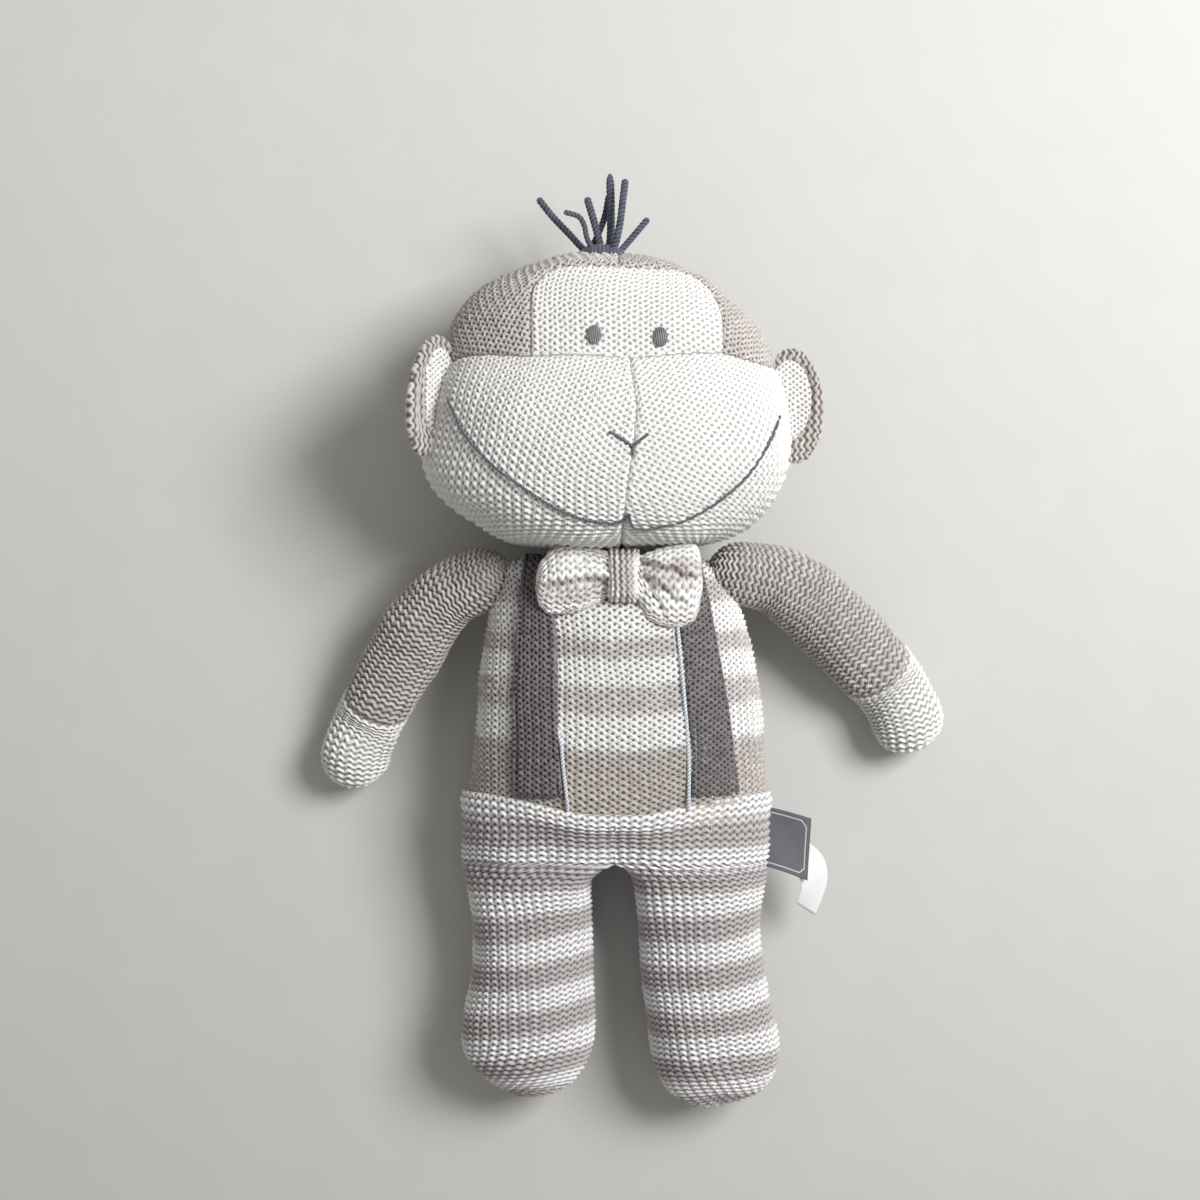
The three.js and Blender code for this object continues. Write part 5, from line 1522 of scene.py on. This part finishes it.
def buildBow():
    shape = bowShape
    for spec in shape["loops"]:
        length = spec["top"][-1][0]
        d = np.concatenate([np.linspace(0, length - 3, 200)[:-1], length - 3 * (1 - np.sin(quarter(120)))])
        top, bottom = sideAt(spec["top"], d), sideAt(spec["bottom"], d)
        front, back = profile(shape["front"], d / length), profile(shape["back"], d / length)
        travel = runningSum(sum(np.hypot(np.diff(d), np.diff(line)) for line in (top, bottom)) / 2)
        step = pitch * 0.75
        rows = int(travel[-1] / step)
        place = np.linspace(0, travel[-1] - 0.15, rows)

        def at(line):
            return np.interp(place, travel, line)[:, None]

        columns = int(shape["girth"] / step)
        angle = fullTurn(columns)[None, :]
        middle, half = (at(top) + at(bottom)) / 2, (at(top) - at(bottom)) / 2
        y = middle + half * np.sign(np.cos(angle)) * np.abs(np.cos(angle)) ** 0.9
        x = spec["rootX"] + spec["side"] * at(d) + 0 * angle
        depth = (at(front) - at(back)) / 2
        z = (at(front) + at(back)) / 2 + depth * np.sin(angle) - shape["tilt"] * (y - shape["middleY"])
        for fold in spec["folds"]:
            (d0, y0), (d1, y1) = fold["from"], fold["to"]
            part = (at(d) - d0) / (d1 - d0)
            line = y0 + (y1 - y0) * part
            fade = smoothStep(part, -0.3, 0.1) * (1 - smoothStep(part, 0.7, 1.15))
            # One lobe hangs over the fold, the other rises slowly from it
            off = (y - line) / fold["width"] * fold.get("over", 1)
            valley = np.exp(-np.where(off > 0, off / 0.62, off / 1.9) ** 2)
            z = z - fold["depth"] * fade * valley * (np.sin(angle) > 0)
        points = np.stack([x, y, z], axis=-1)[:, :-1]
        chest = formFront(bodyForm, points[..., 0], points[..., 1]) + shape["clear"]
        points[..., 2] = np.maximum(points[..., 2], np.minimum(chest, at(front)[:, :, None][..., 0] - 4))
        v = angle / tau * shape["courses"] + spec["stripeAt"] + 0 * at(d)
        u = at(d) / bowKnit["wale"] + 0 * angle
        u, v = wander(u, v, bowKnit, 95 + spec["side"])
        tip = smoothStep(length - at(d), 0.2, 4.5)
        height = knitRelief(u, v, bowKnit, 11)[:, :-1] * tip + swell(points, 11, 97 + spec["side"], 0.35)
        surface = raised(points, height)
        name = "bow_loop_" + spec["name"]
        loop = gridPiece(name + "_knit", surface, knitUv(u, v), caps=(True, True))
        dress(loop, bowPaint, "bow_flap_" + spec["name"], [name])
    knot = shape["knot"]
    y = np.linspace(knot["top"], knot["bottom"], 160)
    fromEnd = np.minimum(knot["top"] - y, y - knot["bottom"])
    rounding = dome(fromEnd, knot["round"])
    waist = knot["waist"] * np.sin((knot["top"] - y) / 20 * math.pi)
    form = {
        "y": y,
        "left": knot["left"] + waist + knot["pinch"] * (1 - rounding),
        "right": knot["right"] - waist - knot["pinch"] * (1 - rounding),
        "front": knot["rim"] + (knot["front"] - knot["rim"]) * rounding - knot["slope"] * (y - shape["middleY"]),
        "back": np.full(len(y), knot["back"]), "widest": np.full(len(y), knot["widest"]),
        "power": knot["power"], "backPower": knot["power"], "poles": False,
    }
    points, across, lengthways = levelGrid(form, pitch * 0.75)
    u, v = wander(lengthways / knotKnit["wale"], across / knotKnit["course"] + 3.2, knotKnit, 99)
    surface = raised(points, knitRelief(u, v, knotKnit, 12)[:, :-1])
    piece = gridPiece("bow_knot_knit", surface, knitUv(u, v), caps=(True, True))
    dress(piece, knotPaint, "torso", ["bow_knot"])


bowStripes = {"period": 6.6, "dark": srgb(220, 212, 209), "light": srgb(253, 252, 250)}


def bowColour(paint, u, v, tone):
    stripes = bowStripes
    loose = (paint.noise(paint.point(u * 0.5, v * 0.7), 1.0, 2.0) - 0.5) * 3.0
    band = ((v + loose) * (tau / stripes["period"])).cos() * 0.5 + 0.5
    colour = paint.mix(band.between(0.1, 0.7), stripes["dark"], stripes["light"])
    return paint.tint(colour, 0.88 + tone * 0.2)


bowPaint = knitPaint("bow knit", bowKnit, None, streak=0.35, shade=0.46, stripes=bowColour, mottle=0.12)
knotPaint = knitPaint("knot knit", knotKnit, None, streak=0.35, shade=0.45, stripes=bowColour, mottle=0.12)
buildBow()
print("bow done")


# Fillings that the limbs and the head turn on

fillings = {"neck_stuffing": "neck", "shoulder_wad_left": "shoulder_left", "shoulder_wad_right": "shoulder_right"}
wadding = {"extra": 0.3, "clump": 5.5, "wisp": 2.2}


def buildFillings():
    for node, body in fillings.items():
        low, high = (np.array(corner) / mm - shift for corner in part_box(node))
        radius = (high - low).max() / 2 + wadding["extra"]
        polar = np.linspace(0.03, math.pi - 0.03, 60)[:, None]
        angle = np.linspace(0, tau, 121)[None, :-1]
        direction = np.stack([
            np.sin(polar) * np.cos(angle), np.sin(polar) * np.sin(angle), np.cos(polar) + 0 * angle,
        ], axis=-1)
        points = (low + high) / 2 + radius * direction
        clumps, wisps = swell(points, wadding["clump"], 111, 0.5), swell(points, wadding["wisp"], 113, 0.5)
        points = points + (np.abs(clumps) + 0.25 * np.abs(wisps))[..., None] * direction
        uv = knitUv(widen(angle * 4 + 0 * polar), widen(polar * 4 + 0 * angle))
        ball = gridPiece(node + "_fibre", points, uv, caps=(True, True))
        dress(ball, fibrePaint, body, [node])


fibrePaint = yarnPaint("stuffing", srgb(226, 225, 220), srgb(248, 247, 244), fibreTone=0.6)
buildFillings()
print("fillings done")


# Labels: woven tape sewn into the side seam

labels = [
    {
        "name": "side", "slot": "woven_label", "width": 19.0, "height": 25.0, "thick": 0.7, "z": 30.3, "curl": 0.5,
        "dip": -0.6, "threads": 3.4, "rough": 0.5, "colours": (srgb(70, 70, 77), srgb(104, 104, 111)),
        # A thin woven line runs round the free edges, with its corners cut off
        "line": {"inset": 1.9, "width": 0.17, "cut": 2.2, "colour": srgb(188, 188, 190)},
        "upper": [[69.6, -86.2], [76, -87.7], [82, -89.3], [88.2, -91.2]],
        "lower": [[69.6, -111.2], [75, -112.8], [80.6, -114.8], [86.6, -117.2]],
    },
    {
        "name": "care", "slot": "care_label", "width": 38.0, "height": 15.0, "thick": 0.35, "z": 23.7, "curl": 4.6,
        "dip": 0.0, "threads": 5.0, "rough": 0.42, "colours": (srgb(240, 240, 241), srgb(251, 251, 251)),
        "upper": [
            [69.8, -94], [80, -97.6], [88.9, -102.7], [93.4, -107.6], [95.2, -115.7], [93.4, -124], [90.2, -132.4],
        ],
        "lower": [
            [69.8, -107.6], [74.5, -109.6], [79.5, -112.4], [83.4, -116.2], [84.4, -120], [83.6, -124], [82.7, -127.4],
        ],
    },
]


def labelPaint(spec):
    paint = Paint(spec["name"] + " label", Roughness=spec["rough"], Sheen_Weight=0.1, Specular_IOR_Level=0.4)
    u, v = paint.uv()
    x, y = u * spec["width"], v * spec["height"]
    threads = spec["threads"]
    warp = ((x * threads) * tau).sin() * 0.5 + 0.5
    weft = ((y * threads * 1.4) * tau).sin() * 0.5 + 0.5
    over = ((x * threads * 0.5 + y * threads * 0.7) * tau).sin() * 0.5 + 0.5
    weave = warp * over + weft * (1 - over)
    slub = paint.noise(paint.point(x * 0.4, y * 4.0), 1.0, 3.0)
    line = spec.get("line")
    if line:
        colour = paint.mix((weave * 0.6 + slub * 0.4).between(0.1, 0.9), *spec["colours"])
        fromSide = spec["width"] - x - line["inset"]
        fromEnd = y.atMost(spec["height"] - y) - line["inset"]
        edge = fromSide.atMost(fromEnd).atMost((fromSide + fromEnd - line["cut"]) * 0.707)
        onLine = 1 - edge.absolute().between(line["width"], line["width"] + 0.14)
        colour = paint.mix(onLine, colour, line["colour"])
    else:
        colour = paint.mix(slub.between(0.2, 0.8), *spec["colours"])
    return paint.finish(colour, weave * 0.7 + slub * 0.3, depth=0.12, strength=0.5)


def buildLabels():
    for spec in labels:
        bpy.ops.mesh.primitive_grid_add(x_subdivisions=38, y_subdivisions=50, size=1.0, location=(0, 0, 0))
        piece = bpy.context.object
        piece.name = spec["name"] + "_label_tape"
        count = len(piece.data.vertices)
        flat = np.zeros(count * 3)
        piece.data.vertices.foreach_get("co", flat)
        flat = flat.reshape(-1, 3)
        u, v = flat[:, 0] + 0.5, flat[:, 1] + 0.5
        lines = [smoothLine(spec[side], 24) for side in ("upper", "lower")]
        upper, lower = (placedOn(line, along(line) / along(line)[-1], u) for line in lines)
        flatPlace = lower + (upper - lower) * v[:, None]
        lift = spec["curl"] * np.sin(u * math.pi) + spec["dip"] * np.sin(v * math.pi) + 0.25 * np.sin(u * 5 + v * 4)
        points = np.column_stack([flatPlace, spec["z"] + lift])
        piece.data.vertices.foreach_set("co", toRow(points).ravel())
        piece.data.uv_layers[0].name = "knit"
        piece.data.update()
        thicken = piece.modifiers.new("thickness", "SOLIDIFY")
        thicken.thickness = spec["thick"] * mm
        thicken.offset = 0.0
        bpy.ops.object.modifier_apply(modifier="thickness")
        piece.data.polygons.foreach_set("use_smooth", np.ones(len(piece.data.polygons), bool))
        bpy.ops.object.select_all(action="DESELECT")
        dress(piece, labelPaint(spec), spec["name"] + "_label_flap", [spec["name"] + "_label"])


buildLabels()
print("labels done")


# Room round the toy: a pale floor, daylight from the upper right

light = {
    "sky": (1.0, 0.985, 0.965, 1.0), "skyStrength": 0.375, "key": 22.2, "keyPlace": (800, 420, 1100), "keySize": 0.6,
    "floor": srgb(201, 201, 198), "floorSize": 6.0, "paintedFalloff": 0.36,
}


def buildRoom():
    bpy.ops.mesh.primitive_plane_add(size=light["floorSize"], location=(0, 0, 0))
    floor = bpy.context.object
    floor.name = "floor"
    paint = Paint("floor", Roughness=0.85, Specular_IOR_Level=0.2)
    grain = paint.noise(paint.place(), 40.0, 3.0)
    # Painted light falloff: the floor is painted lighter towards +y, where the window light falls stronger, and darker
    # towards -y
    paintedLightRamp = paint.split(paint.place())[1].atLeast(-0.25).atMost(0.25)
    colour = paint.tint(light["floor"], paintedLightRamp * light["paintedFalloff"] + 0.93 + grain * 0.05)
    floor.data.materials.append(paint.finish(colour))
    sky = bpy.data.worlds.new("sky")
    sky.use_nodes = True
    glow = sky.node_tree.nodes["Background"].inputs
    glow["Color"].default_value, glow["Strength"].default_value = light["sky"], light["skyStrength"]
    bpy.context.scene.world = sky
    place = np.array(light["keyPlace"]) * mm
    bpy.ops.object.light_add(type="AREA", location=place)
    lamp = bpy.context.object
    lamp.name = "window"
    lamp.data.energy = light["key"]
    lamp.data.size = light["keySize"]
    away = -place / np.linalg.norm(place)
    lamp.rotation_euler = (math.acos(-away[2]), 0, math.atan2(away[1], away[0]) - math.pi / 2)
    bpy.ops.object.select_all(action="DESELECT")
    bpy.context.scene.view_settings.view_transform = "Standard"


buildRoom()
print("room done")
